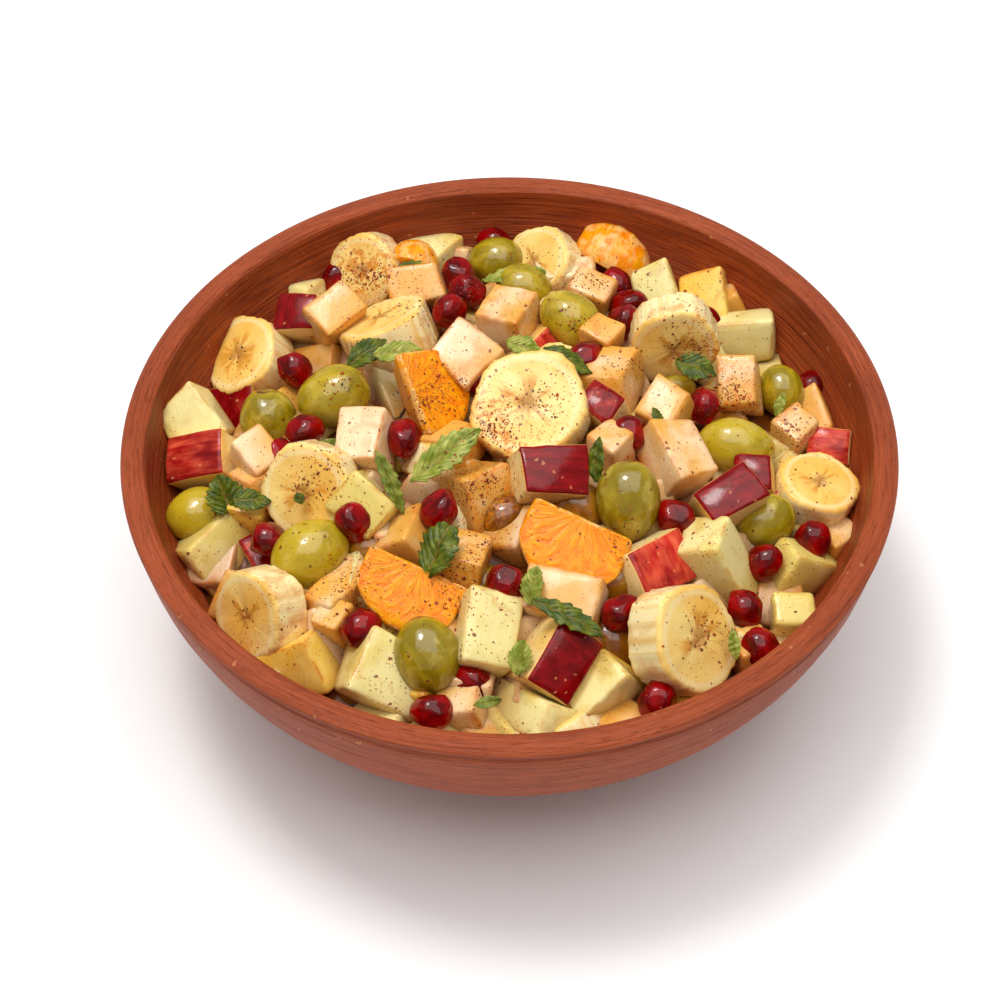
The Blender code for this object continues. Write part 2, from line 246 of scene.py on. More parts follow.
# %% Pressing pieces to the wall
def wall_radius(height):
    """Inner radius of the bowl at heights over the table, plus a little, so that no gap shows."""
    share = np.clip((RIM_HEIGHT - height) / INNER_DEPTH, 0.0, 0.999)
    return INNER_RADIUS * np.sqrt(1 - share**2) + np.where(share > 0.06, 0.4, -0.8)


def press_inside(points):
    """Moves any point that lies past the bowl's inside back onto it."""
    points[:, 2] = np.maximum(points[:, 2], FLOOR + 0.3)
    reach = np.hypot(points[:, 0], points[:, 1]) + 1e-9
    shrink = np.minimum(1.0, wall_radius(points[:, 2]) / reach)
    points[:, :2] *= shrink[:, None]
    return points


# %% The tray that joins pieces into one mesh
def as_object(name, points, faces, finish):
    """Makes a smooth mesh object from points in millimetres, riding on the dish."""
    mesh = bpy.data.meshes.new(name)
    mesh.from_pydata((np.asarray(points) * MM).tolist(), [], faces)
    mesh.validate()
    mesh.shade_smooth()
    mesh.materials.append(finish)
    made = bpy.data.objects.new(name, mesh)
    bpy.context.scene.collection.objects.link(made)
    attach(made, "root")
    return made


def store(mesh, name, values):
    """Stores a number or a vector at each point of a mesh."""
    values = np.asarray(values, np.float32)
    kind, key = ("FLOAT_VECTOR", "vector") if values.ndim == 2 else ("FLOAT", "value")
    mesh.attributes.new(name, kind, "POINT").data.foreach_set(key, values.ravel())


CLUMPS = (
    # x, y, spread, share: where the spoon of spice tapped
    (-43, 73, 7, 1.2), (-8, -20, 8, 1.6), (-20, 10, 7, 1.3), (61, 19, 7, 1.3), (-4, -2, 6, 1.4),
    (10, 10, 6, 0.5), (-50, -14, 8, 0.6), (-42, -47, 7, 0.7), (-12, 59, 5, 0.5), (32, 26, 6, 0.5),
    (50, -58, 6, 0.4), (30, -36, 7, 0.5), (-14, -50, 7, 0.7), (17, 44, 6, 0.4), (-6, -40, 7, 0.7),
    (52, 38, 6, 0.6), (-26, 52, 6, 0.5), (22, 66, 6, 0.5), (78, 10, 6, 0.6), (-46, 20, 6, 0.5),
)


def dusting(points):
    """How thickly the spice lies at points of the heap, from 0 to 1."""
    total = np.zeros(len(points))
    for x, y, spread, share in CLUMPS:
        away = (points[:, 0] - x) ** 2 + (points[:, 1] - y) ** 2
        total += share * np.exp(-away / (2 * spread**2))
    return np.clip(total, 0, 1)


class Tray:
    """Holds the pieces of one kind of fruit until they are joined."""

    def __init__(self, name, slot):
        self.name, self.slot = name, slot
        self.points, self.faces, self.spots, self.rims, self.tones = [], [], [], [], []
        self.total = 0
        self.pieces = 0

    def add(self, shape, turning, middle, tone):
        points, faces, spots, rims = shape
        placed = points @ np.array(turning).T + np.array(middle)
        self.points.append(press_inside(placed))
        self.faces.extend([[corner + self.total for corner in face] for face in faces])
        self.spots.append(spots)
        self.rims.append(rims)
        self.tones.append(np.full(len(points), tone))
        self.total += len(points)
        self.pieces += 1

    def join(self, finish):
        points = np.concatenate(self.points)
        made = as_object(self.name, points, self.faces, finish)
        store(made.data, "dusting", dusting(points))
        store(made.data, "depth", skin(points[:, 0], points[:, 1]) - points[:, 2])
        store(made.data, "spot", np.concatenate(self.spots))
        store(made.data, "rim", np.concatenate(self.rims))
        store(made.data, "tone", np.concatenate(self.tones))
        print(f"{self.name}: {self.pieces} pieces, {len(self.faces)} faces")
        return made


# %% Closing rings into a mesh
def ring_faces(rings, sides):
    """Faces between rings of points, and two fans to the two points that follow the last ring."""
    tip = rings * sides
    last = tip - sides
    faces = []
    for side in range(sides):
        beside = (side + 1) % sides
        faces.append([tip, side, beside])
        faces.append([tip + 1, last + beside, last + side])
        for low in range(0, last, sides):
            faces.append([low + side, low + sides + side, low + sides + beside, low + beside])
    return faces


# %% [markdown]
# ## Setting a piece into the heap
#
# The salad was dressed to face one side, from a bit above. Standing there, a cook sees where each piece
# shows, and which way its edges run. So that is how a piece is set: a spot on the heap's skin, a lift
# towards the eye, and directions given as an angle in the view (0 is right, 90 is up) with a rise towards
# the eye. For a cube the three edges that leave its nearest corner are enough. Since they are square to
# each other, their three angles fix the whole turn: the squares of the seen lengths solve three equations.

# %% Placing helpers
EYE = camera.location / MM


def view_axes(spot):
    """Right, up and towards the eye, for a spot on the heap."""
    toward = (EYE - spot).normalized()
    right = Vector((0, 0, 1)).cross(toward).normalized()
    return right, toward.cross(right), toward


def pointing(spot, angle, rise):
    """A direction at that angle in the view, raised towards the eye."""
    right, up, toward = view_axes(spot)
    angle, rise = math.radians(angle), math.radians(rise)
    return math.cos(rise) * (math.cos(angle) * right + math.sin(angle) * up) + math.sin(rise) * toward


def square_axes(first, third):
    """A turn whose x axis is the first vector and whose z axis is as near the third as it can be."""
    x_axis = first.normalized()
    z_axis = (third - third.dot(x_axis) * x_axis).normalized()
    return Matrix((x_axis, z_axis.cross(x_axis), z_axis)).transposed()


def facing(spot, angle, rise, turn=0.0):
    """A turn whose z axis points that way; turn spins the piece about it."""
    z_axis = pointing(spot, angle, rise)
    side = pointing(spot, angle + 90, 0)
    return square_axes(side, z_axis) @ Matrix.Rotation(math.radians(turn), 3, "Z")


def edges_from_corner(spot, angles):
    """The three square edges of a box that leave its nearest corner at these angles in the view."""
    doubled = np.radians(2 * np.array(angles))
    seen = np.linalg.solve([np.ones(3), np.cos(doubled), np.sin(doubled)], (2, 0, 0))
    edges = []
    for angle, square in zip(angles, np.clip(seen, 0.02, 0.998)):
        edges.append(pointing(spot, angle, -math.degrees(math.acos(math.sqrt(square)))))
    return edges


def heap_spot(x, y):
    return Vector((x, y, skin(x, y)))


def uneven(points, wavelength, seed):
    """A smooth value from about -1 to 1 that wanders over the points, the same each run."""
    dice = np.random.default_rng(seed)
    total = np.zeros(len(points))
    for _ in range(6):
        way = dice.normal(size=3)
        way *= math.tau / wavelength * dice.uniform(0.6, 1.5) / np.linalg.norm(way)
        total += np.sin(points @ way + dice.uniform(0, math.tau))
    return total / 3.0


# %% [markdown]
# ## The clay bowl
#
# A bowl thrown on a wheel is a solid of revolution, so its section is drawn once and turned round the axis.
# A Screw modifier would do, but turning it in code lets every ring wander a little, as a hand-thrown wall
# does, and stores how far along the section each point lies. The clay finish uses that to draw streaks
# that run round the bowl on the wall, the lip and the inside alike.


# %% Section of the bowl
def outer_radius(depth):
    return RIM_RADIUS * math.sqrt(1 - (depth / OUTER_DEPTH) ** 2)


def bowl_section():
    """Points from the middle of the foot, up the outside, over the lip and down to the middle inside."""
    section = [(radius, 0.0) for radius in np.linspace(0, outer_radius(RIM_HEIGHT) - 2.0, 10)]
    lowest = RIM_HEIGHT - 1.5
    for step in range(61):
        depth = lowest + (4.0 - lowest) * step / 60
        section.append((outer_radius(depth) - SHOULDER, RIM_HEIGHT - depth))
    for angle in range(-60, 61, 15):
        dip = GROOVE * math.cos(math.radians(angle * 1.5))
        rise = 1.2 * angle / 60
        section.append((outer_radius(GROOVE_DEPTH) - SHOULDER - dip, RIM_HEIGHT - GROOVE_DEPTH + rise))
    middle = RIM_RADIUS - WALL / 2
    for angle in range(-32, 181, 8):
        across = math.cos(math.radians(angle)) * WALL / 2
        up = math.sin(math.radians(angle)) * LIP_RISE
        section.append((middle + across, RIM_HEIGHT + up))
    for step in range(56):
        angle = math.radians(88.5) * (1 - step / 55)
        section.append((INNER_RADIUS * math.sin(angle), RIM_HEIGHT - INNER_DEPTH * math.cos(angle)))
    return np.array(section)


# %% Turning the bowl
def turned(section, sides, wander):
    """Turns a section that starts and ends on the axis; wander(points) moves each point outwards."""
    along = np.concatenate([[0.0], np.cumsum(np.linalg.norm(np.diff(section, axis=0), axis=1))])
    angles = np.arange(sides) * math.tau / sides
    rings = len(section)
    radius = np.repeat(section[1:-1, 0], sides)
    height = np.repeat(section[1:-1, 1], sides)
    around = np.tile(angles, rings - 2)
    spots = np.column_stack([np.cos(around), np.sin(around), np.repeat(along[1:-1], sides)])
    radius = radius + wander(spots)
    points = np.column_stack([radius * np.cos(around), radius * np.sin(around), height])
    ends = [(0.0, 0.0, section[0, 1]), (0.0, 0.0, section[-1, 1])]
    points = np.vstack([points, ends])
    spots = np.vstack([spots, [(1, 0, 0), (1, 0, along[-1])]])
    faces = [face[:1] + face[:0:-1] for face in ring_faces(rings - 2, sides)]
    return points, faces, spots, along


def hand_thrown(spots):
    """Turning marks, and a rim that is a hair out of round."""
    along = spots[:, 2]
    rings = 0.09 * np.sin(along * 1.15) * np.sin(along * 0.31) + 0.05 * np.sin(along * 3.1 + 2 * spots[:, 0])
    out_of_round = 0.18 * spots[:, 0] * spots[:, 1] + 0.1 * np.sin(3 * np.arctan2(spots[:, 1], spots[:, 0]))
    return rings * np.minimum(1, along / 60) + out_of_round


section = bowl_section()
bowl_points, bowl_faces, bowl_spots, along = turned(section, 240, hand_thrown)
lip_along = along[np.argmax(section[:, 1])]
print(f"bowl section {along[-1]:.0f} mm long, {len(bowl_faces)} faces")

# %% [markdown]
# ## Burnished clay
#
# The clay is red-brown and unglazed, rubbed smooth before firing. Turning drags the grit into short dark
# dashes, and the inside is deeper and more orange where juice has soaked in. The lip gets darker patches,
# partly the clay's own marks and partly painted shade that tones down the light the upturned lip catches.
# The crease under the lip is darkened as painted shade. The streaks are noise whose coordinates are the
# direction round the bowl and the way along the section.


# %% Clay finish
def clay_finish():
    clay = Finish("burnished_clay", 0.55, Specular_IOR_Level=0.3)
    spot = clay.vector("spot")
    inside = clay.value("inside")
    coarse = clay.noise(clay.stretched(spot, (5.0, 5.0, 0.9)), 1.0, 5.0, 0.6)
    fine = clay.noise(clay.stretched(spot, (14.0, 14.0, 5.0)), 1.0, 4.0, 0.3)
    dashes = clay.span(clay.noise(clay.stretched(spot, (26.0, 26.0, 3.4)), 1.0, 2.0), 0.60, 0.72)
    blotch = clay.noise(clay.place(), 38.0, 4.0)
    outer = clay.mix(clay.span(coarse, 0.3, 0.7), tint(142, 58, 22), tint(188, 88, 42))
    outer = clay.mix(clay.span(fine, 0.35, 0.65, 0.0, 0.55), outer, tint(168, 76, 36))
    inner = clay.mix(clay.span(coarse, 0.3, 0.7), tint(134, 48, 6), tint(172, 76, 24))
    colour = clay.mix(inside, outer, inner)
    colour = clay.mix(clay.span(blotch, 0.4, 0.75, 0.0, 0.35), colour, tint(128, 50, 20))
    colour = clay.mix(clay.math("MULTIPLY", dashes, 0.55), colour, tint(92, 36, 16))
    pits = clay.specks(clay.place(), 200.0, 0.16, 0.3)
    pale = clay.math("MULTIPLY", pits, 0.45)
    colour = clay.mix(pale, colour, tint(226, 150, 96))
    # Painted shade: the crease under the lip is darkened in the colour as well as cut into the shape.
    groove_shade = clay.value("groove_shade")
    colour = clay.mix(clay.math("MULTIPLY", groove_shade, 0.25), colour, tint(92, 36, 14))
    # Darker patches on the lip: partly the clay's own marks, partly painted shade that tones down the light
    # the upturned lip catches.
    lip_marks_and_shade = clay.math("MULTIPLY", clay.value("lip"), clay.span(coarse, 0.4, 0.6))
    colour = clay.mix(clay.math("MULTIPLY", lip_marks_and_shade, 0.3), colour, tint(120, 46, 22))
    lines = clay.noise(clay.stretched(spot, (3.0, 3.0, 1.5)), 1.0, 3.0, 0.2)
    colour = clay.mix(clay.span(lines, 0.52, 0.66, 0.0, 0.4), colour, tint(112, 44, 22))
    roughness = clay.span(fine, 0.3, 0.7, 0.42, 0.62)
    surface = clay.relief(coarse, 0.25)
    surface = clay.relief(fine, 0.2, surface)
    surface = clay.relief(lines, 0.5, surface)
    surface = clay.relief(dashes, 0.06, surface)
    surface = clay.relief(pits, -0.12, surface)
    return clay.finish(Base_Color=colour, Roughness=roughness, Normal=surface)


# %% Make the bowl
bowl = as_object("bowl_clay", bowl_points, bowl_faces, clay_finish())
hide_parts("bowl")
store(bowl.data, "spot", bowl_spots)
store(bowl.data, "inside", np.clip((bowl_spots[:, 2] - lip_along - 2.0) / 3.0, 0, 1))
# Masks for the crease under the lip and for the lip; the clay darkens both with painted shade, the lip only
# in part.
below_lip = bowl_spots[:, 2] - (lip_along - 6.2)
store(bowl.data, "groove_shade", np.exp(-((below_lip / 0.8) ** 2)))
store(bowl.data, "lip", np.exp(-(((bowl_spots[:, 2] - lip_along + 1.0) / 3.5) ** 2)))

# %% [markdown]
# ## Juice and crushed fruit underneath
#
# Between the pieces you look down into amber juice and bruised fruit. One lumpy, wet solid fills the bowl
# up to a little under the pieces, so no gap ever shows the empty inside of the bowl. Its colour is darker
# than the juice alone: painted shade for the deep gaps between the pieces.


# %% Core finish and shape
def juice_and_gap_shade_finish():
    juice = Finish("amber_juice_and_gap_shade", 0.3, Specular_IOR_Level=0.3)
    place = juice.place()
    cloud = juice.noise(place, 90.0, 4.0, 0.5)
    # Painted shade: both colours are much darker than amber juice, to stand for the shade in the gaps.
    colour = juice.mix(juice.span(cloud, 0.35, 0.7), tint(44, 18, 2), tint(122, 62, 8))
    surface = juice.relief(juice.noise(place, 260.0, 3.0), 0.6)
    return juice.finish(Base_Color=colour, Normal=surface)


CORE_DEPTH = 11.0
core_section = [(0.0, FLOOR + 0.3)]
for step in range(1, 24):
    angle = math.radians(66) * step / 23
    core_section.append((INNER_RADIUS * math.sin(angle), RIM_HEIGHT - INNER_DEPTH * math.cos(angle)))
for step in range(23, -1, -1):
    radius = core_section[23][0] * step / 23
    core_section.append((radius, skin(radius, 0.0) - CORE_DEPTH))
core_points, core_faces, core_spots, _ = turned(np.array(core_section), 120, lambda spots: 0.0)
lumps = uneven(core_points, 19.0, 5) * 1.8 + uneven(core_points, 8.0, 6) * 0.6
core_points[:, 2] += np.where(core_spots[:, 2] > 95.0, lumps, 0.0)
core = as_object("juice_core", press_inside(core_points), core_faces, juice_and_gap_shade_finish())
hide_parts("salad_heap")

# %% [markdown]
# ## Knife-cut chunks
#
# Apple, melon and mango cubes all start as a block, but a plain block looks like a toy. A kitchen cube has
# corners that wandered from the knife, faces that are not quite flat, and edges that the dressing has
# softened. A grid over the block's six sides, finer towards the edges, can be rounded by pulling every
# point to a set distance from a smaller block inside it. The same grid can be bent later into wedges.

# %% Block grid
FINE_STEPS = (-1, -0.975, -0.93, -0.86, -0.6, -0.2, 0.2, 0.6, 0.86, 0.93, 0.975, 1)
PLAIN_STEPS = (-1, -0.93, -0.8, 0, 0.8, 0.93, 1)


def block_grid(steps):
    """The points and faces of a cube from -1 to 1 with each side cut into a grid at the steps."""
    count = len(steps)
    corners, faces = [], []
    for axis in range(3):
        for side in (-1, 1):
            start = len(corners)
            for first in steps:
                for second in steps:
                    point = [0.0, 0.0, 0.0]
                    point[axis] = side
                    point[(axis + 1) % 3] = first
                    point[(axis + 2) % 3] = second
                    corners.append(point)
            for row in range(count - 1):
                for column in range(count - 1):
                    at = start + row * count + column
                    face = [at, at + count, at + count + 1, at + 1]
                    faces.append(face if side > 0 else face[::-1])
    corners = np.array(corners)
    unique, index = np.unique(np.round(corners, 5), axis=0, return_inverse=True)
    return unique, index.reshape(-1)[np.array(faces)].tolist()


FINE_BLOCK = block_grid(FINE_STEPS)
PLAIN_BLOCK = block_grid(PLAIN_STEPS)
print("chunk grid:", len(FINE_BLOCK[1]), "faces; hidden chunks:", len(PLAIN_BLOCK[1]))


# %% Chunk shape
def chunk(size, seed, softness=0.9, crown=0.0, wander=0.13, grid=FINE_BLOCK):
    """A cut piece: softness rounds the edges, crown swells its top, wander moves its corners."""
    dice = np.random.default_rng(seed)
    spots, faces = grid
    half = np.array(size) / 2
    sides = spots * half
    inner = np.clip(sides, softness - half, half - softness)
    away = sides - inner
    points = inner + softness * away / (np.linalg.norm(away, axis=1, keepdims=True) + 1e-9)
    bulge = dice.uniform(-0.01, 0.035, 3)
    for axis in range(3):
        others = [other for other in range(3) if other != axis]
        dome = (1 - spots[:, others[0]] ** 2) * (1 - spots[:, others[1]] ** 2)
        points[:, axis] += spots[:, axis] * dome * half[axis] * bulge[axis]
    top = np.maximum(spots[:, 2], 0)
    points[:, 2] += crown * top * (1 - 0.5 * spots[:, 0] ** 2 - 0.5 * spots[:, 1] ** 2)
    moves = dice.uniform(-wander, wander, (2, 2, 2, 3)) * half
    share = (spots + 1) / 2
    for i in (0, 1):
        for j in (0, 1):
            for k in (0, 1):
                weight = (np.abs(1 - i - share[:, 0]) * np.abs(1 - j - share[:, 1])
                          * np.abs(1 - k - share[:, 2]))
                points += weight[:, None] * moves[i, j, k]
    points += 0.10 * uneven(points, 5.0, seed + 1)[:, None] * spots
    ranked = np.sort((1 - np.abs(spots)) * half, axis=1)
    rims = np.exp(-ranked[:, 1] / 1.3)
    return points, faces, spots, rims


# %% [markdown]
# ## Flesh of apple, melon and mango
#
# Apple flesh is cream and a little dry at the cut edges, where the dressing stains it amber and chilli dust
# clings. Melon is a paler yellow green and a bit more glassy. Mango is a warm yellow. One recipe makes all
# three, each from its own set of colours: a base that drifts inside a piece and from piece to piece, painted
# shade towards the underside of each piece, a stain that follows the stored rim value, soft bruises, painted
# shade with some juice stain that darkens what lies deep in the heap, spice, and a wet coat.


# %% Flesh finish
def flesh_finish(name, pale, warm, deep, stain, glow, roughness=0.3):
    flesh = Finish(name, roughness, Specular_IOR_Level=0.35, Coat_Weight=0.2, Coat_Roughness=0.08,
                   Subsurface_Weight=0.3, Subsurface_Scale=0.003, Subsurface_Radius=glow)
    spot = flesh.vector("spot")
    rim = flesh.value("rim")
    tone = flesh.value("tone")
    place = flesh.place()
    drift = flesh.noise(place, 70.0, 3.0, 0.4)
    drift = flesh.math("ADD", drift, flesh.math("MULTIPLY", flesh.math("SUBTRACT", tone, 0.5), 0.45))
    colour = flesh.mix(flesh.span(drift, 0.36, 0.66), pale, warm)
    # Painted shade: each piece turns darker towards its underside (its own -z), as if lit from above.
    depth = flesh.math("MULTIPLY", flesh.node("ShaderNodeSeparateXYZ", {0: spot}).outputs[2], -1.0)
    colour = flesh.mix(flesh.span(depth, 0.2, 1.0, 0.0, 0.55), colour, deep)
    fibre = flesh.noise(flesh.stretched(place, (900.0, 300.0, 300.0)), 1.0, 3.0, 0.8)
    colour = flesh.mix(flesh.span(fibre, 0.5, 0.8, 0.0, 0.25), colour, warm)
    patch = flesh.noise(place, 170.0, 3.0)
    edge = flesh.math("MULTIPLY", flesh.span(rim, 0.2, 1.0), flesh.span(patch, 0.36, 0.6))
    colour = flesh.mix(flesh.math("MULTIPLY", edge, 0.75), colour, stain)
    bruise = flesh.span(flesh.noise(place, 110.0, 4.0, 0.8), 0.52, 0.72, 0.0, 0.4)
    colour = flesh.mix(bruise, colour, stain)
    colour = flesh.soaked_and_shaded(colour)
    colour = flesh.spiced(colour, place)
    grain = flesh.noise(place, 2600.0, 3.0)
    surface = flesh.relief(fibre, 0.12)
    surface = flesh.relief(grain, 0.05, surface)
    return flesh.finish(Base_Color=colour, Normal=surface)


apple_flesh = flesh_finish("apple_flesh", tint(244, 212, 166), tint(230, 172, 76), tint(216, 138, 40),
                           tint(206, 116, 26), (1.0, 0.6, 0.2))
melon_flesh = flesh_finish("melon_flesh", tint(242, 228, 158), tint(230, 208, 114), tint(212, 182, 72),
                           tint(200, 140, 36), (0.9, 0.8, 0.2), 0.25)
mango_flesh = flesh_finish("mango_flesh", tint(252, 218, 112), tint(248, 200, 76), tint(236, 174, 46),
                           tint(204, 110, 16), (1.0, 0.6, 0.1), 0.25)

# %% [markdown]
# ## Apple skin
#
# Some apple blocks keep their skin on one side, which is a piece of the apple's round outside. On the mesh
# that is the crowned top of a chunk, so the finish turns from skin to flesh where the stored spot leaves
# the top. The skin is crimson with soft streaks and pale dots. A slow mottle turns parts of it towards
# orange, and more of it on pieces with a higher tone.


# %% Skin finish
def skin_finish():
    apple = Finish("apple_skin", 0.26, Specular_IOR_Level=0.3)
    spot = apple.vector("spot")
    rim = apple.value("rim")
    tone = apple.value("tone")
    place = apple.place()
    height = apple.node("ShaderNodeSeparateXYZ", {0: spot}).outputs[2]
    on_top = apple.span(height, 0.955, 0.975)
    streak = apple.noise(apple.stretched(spot, (3.4, 1.0, 1.0)), 1.0, 5.0, 0.5)
    cloud = apple.noise(spot, 0.8, 2.0)
    crimson = apple.mix(apple.span(streak, 0.35, 0.75), tint(112, 2, 6), tint(158, 12, 18))
    blush = apple.mix(apple.span(streak, 0.3, 0.75, 0.0, 0.6), tint(214, 42, 34), tint(238, 128, 84))
    mottle = apple.math("ADD", apple.math("MULTIPLY", streak, 0.35), apple.math("MULTIPLY", cloud, 0.9))
    share = apple.math("ADD", tone, apple.math("SUBTRACT", mottle, 0.62))
    skin_colour = apple.mix(apple.span(share, 0.3, 0.75), crimson, blush)
    dots = apple.math("MULTIPLY", apple.specks(place, 420.0, 0.22, 0.4), 0.5)
    skin_colour = apple.mix(dots, skin_colour, tint(232, 150, 96))
    drift = apple.noise(place, 80.0, 3.0)
    flesh = apple.mix(apple.span(drift, 0.35, 0.7), tint(250, 228, 164), tint(242, 196, 96))
    under = apple.math("MULTIPLY", apple.span(height, 0.55, 0.95), 0.35)
    flesh = apple.mix(under, flesh, tint(240, 164, 66))
    patch = apple.noise(place, 170.0, 3.0)
    edge = apple.math("MULTIPLY", apple.span(rim, 0.35, 1.0), apple.span(patch, 0.38, 0.62))
    flesh = apple.mix(apple.math("MULTIPLY", edge, 0.6), flesh, tint(206, 116, 36))
    flesh = apple.spiced(apple.soaked_and_shaded(flesh), place)
    colour = apple.mix(on_top, flesh, skin_colour)
    roughness = apple.span(on_top, 0.0, 1.0, 0.34, 0.14)
    surface = apple.relief(apple.noise(place, 300.0, 3.0), 0.12)
    surface = apple.relief(apple.noise(place, 2200.0, 2.0), 0.03, surface)
    return apple.finish(Base_Color=colour, Roughness=roughness, Normal=surface)


skinned_apple = skin_finish()

# %% [markdown]
# ## The chunks that show
#
# Each row is one piece: what it is, where it shows on the heap, how proud it stands, the directions in the
# view of the three edges that leave its nearest corner, how long those edges are, and a tone. They were set
# one by one, because a heap scattered by dice never has the big cubes, corners and stacked pieces that a
# cook's hand leaves.

# %% Placed chunks
CHUNKS = (
    # kind, x, y, lift, angles of the three edges, their lengths, tone
    ("melon", -60, 71, 7, (162, 19, 265), (11, 11, 14), 0.2),
    ("skin", -56, 46, 3, (172, 75, 305), (12, 11, 14), 0.1),
    ("apple", -51, 41, 4, (126, 31, 255), (12, 15, 16), 0.9),
    ("melon", -77, 10, 3, (120, 212, 335), (17, 15, 14), 0.3),
    ("skin", -77, -7, 2, (82, 182, 320), (13, 17, 12), 0.5),
    ("apple", -68, -10, 2, (120, 25, 255), (12, 11, 14), 0.4),
    ("apple", -69, -13, 2, (150, 30, 275), (10, 11, 10), 0.6),
    ("mango", -66, -25, -1, (150, 45, 270), (10, 10, 11), 0.5),
    ("apple", -35, -10, 4, (75, 175, 300), (16, 13, 13), 0.1),
    ("melon", -21, 81, 2, (161, 43, 270), (15, 14, 14), 0.4),
    ("apple", -13, 87, 1, (176, 27, 268), (10, 13, 12), 0.5),
    ("apple", -19, 57, 1, (192, 100, 300), (15, 12, 12), 0.5),
    ("apple", -11, 13, 2, (138, 45, 270), (16, 15, 14), 0.3),
    ("apple", 1, 42, 5, (170, 55, 285), (14, 15, 16), 0.6),
    ("apple", 25, 71, 3, (187, 95, 279), (17, 8, 12), 0.3),
    ("apple", 27, 54, 2, (159, 62, 268), (12, 10, 12), 0.7),
    ("melon", 49, 59, 4, (112, 204, 320), (15, 12, 12), 0.4),
    ("mango", 63, 56, 2, (105, 197, 330), (16, 13, 12), 0.4),
    ("apple", 68, 74, 14, (115, 215, 307), (9, 10, 22), 0.6),
    ("melon", 77, 61, 17, (192, 95, 283), (17, 11, 13), 0.5),
    ("apple", 27, 33, 2, (150, 50, 270), (10, 9, 12), 0.95),
    ("apple", -14, -8, 2, (165, 40, 280), (13, 12, 10), 0.9),
    ("melon", -29, -27, 2, (135, 226, 0), (16, 12, 14), 0.9),
    ("apple", -11, -20, 5, (167, 22, 280), (15, 15, 15), 0.9),
    ("skin", 4, -24, 4, (98, 3, 225), (14, 18, 12), 0.1),
    ("skin", 26, 1, 0, (150, 55, 280), (11, 10, 12), 0.4),
    ("apple", 27, -8, 3, (150, 40, 275), (10, 10, 13), 0.5),
    ("apple", 31, 19, 5, (178, 65, 284), (13, 17, 13), 0.8),
    ("apple", 43, 2, 2, (160, 62, 285), (12, 13, 12), 0.6),
    ("apple", 45, -14, 5, (120, 10, 237), (19, 13, 13), 0.5),
    ("skin", 53, -29, 3, (132, 39, 265), (11, 18, 12), 0.1),
    ("apple", 68, 17, 4, (100, 192, 315), (15, 11, 12), 0.5),
    ("apple", 91, 17, 1, (128, 220, 325), (14, 11, 12), 0.9),
    ("apple", 79, 7, 3, (150, 48, 268), (10, 10, 13), 0.7),
    ("skin", 93, 2, 1, (97, 188, 310), (11, 12, 12), 0.6),
    ("skin", 70, -14, 1, (100, 192, 300), (11, 10, 12), 0.2),
    ("melon", -87, -30, 3, (29, 160, 297), (22, 13, 20), 0.7),
    ("apple", -45, -53, 3, (148, 35, 275), (10, 18, 14), 0.8),
    ("apple", -44, -60, 2, (150, 50, 296), (8, 9, 17), 0.9),
    ("mango", -52, -61, 4, (195, 30, 290), (17, 14, 15), 0.5),
    ("melon", -40, -74, 5, (60, 326, 193), (17, 20, 15), 0.3),
    ("apple", -27, -36, 3, (65, 195, 310), (13, 11, 12), 0.9),
    ("apple", -7, -44, 4, (62, 168, 265), (14, 12, 15), 0.7),
    ("apple", -9, -82, 1, (75, 185, 300), (11, 11, 11), 0.6),
    ("melon", 11, -80, 4, (152, 247, 342), (22, 11, 12), 0.4),
    ("melon", -11, -69, 4, (82, 346, 215), (19, 14, 13), 0.3),
    ("melon", 30, -71, 4, (138, 230, 326), (11, 19, 12), 0.5),
    ("skin", 5, -73, 5, (60, 326, 175), (18, 14, 15), 0.2),
    ("apple", 22, -60, 3, (170, 78, 290), (20, 12, 12), 0.6),
    ("melon", 54, -34, 10, (196, 74, 305), (13, 13, 22), 0.5),
    ("melon", 77, -33, 4, (142, 356, 246), (11, 17, 17), 0.8),
    ("melon", 68, -54, 2, (108, 13, 262), (10, 12, 14), 0.8),
    ("apple", 60, -64, 0, (140, 30, 270), (10, 10, 10), 0.8),
    ("apple", 86, -27, -1, (150, 40, 280), (10, 10, 8), 0.7),
    ("skin", 30, -40, 4, (32, 298, 200), (18, 14, 12), 0.6),
    ("apple", -60, -71, -1, (150, 40, 275), (15, 14, 14), 0.6),
    ("melon", -30, -87, -1, (160, 50, 285), (14, 14, 14), 0.4),
    ("apple", -4, -92, -1, (140, 30, 270), (14, 13, 14), 0.5),
    ("apple", 26, -88, -1, (150, 45, 280), (15, 14, 14), 0.7),
    ("mango", 46, -79, -1, (160, 40, 275), (14, 14, 14), 0.4),
    ("apple", 70, -66, -1, (140, 35, 265), (13, 13, 14), 0.6),
)
apples = Tray("apple_cubes", "apple_flesh")
melons = Tray("melon_cubes", "melon")
mangoes = Tray("mango_cubes", "mango")
skins = Tray("apple_with_skin", "apple_skin")
trays = {"apple": apples, "melon": melons, "mango": mangoes, "skin": skins}
softness = {"apple": 1.0, "melon": 1.3, "mango": 1.2, "skin": 0.8}
for number, (kind, x, y, lift, angles, lengths, tone) in enumerate(CHUNKS):
    spot = heap_spot(x, y)
    edges = edges_from_corner(spot, angles)
    middle = spot + view_axes(spot)[2] * lift + sum((e * l / 2 for e, l in zip(edges, lengths)), Vector())
    shape = chunk(lengths, 100 + number, softness[kind], crown=1.4 if kind == "skin" else 0.0)
    trays[kind].add(shape, square_axes(edges[0], -edges[2]), middle, tone)
print(len(CHUNKS), "chunks placed by hand")

# %% [markdown]
# ## Banana slices
#
# A slice is a short drum whose outline is softly five-sided, with flat cut faces that the knife left a
# little domed and a side ribbed along the fruit. The face carries a star: three shallow hollows with small
# dark seeds in the middle, darker amber streaks running out from them, and a paler ring near the outside.


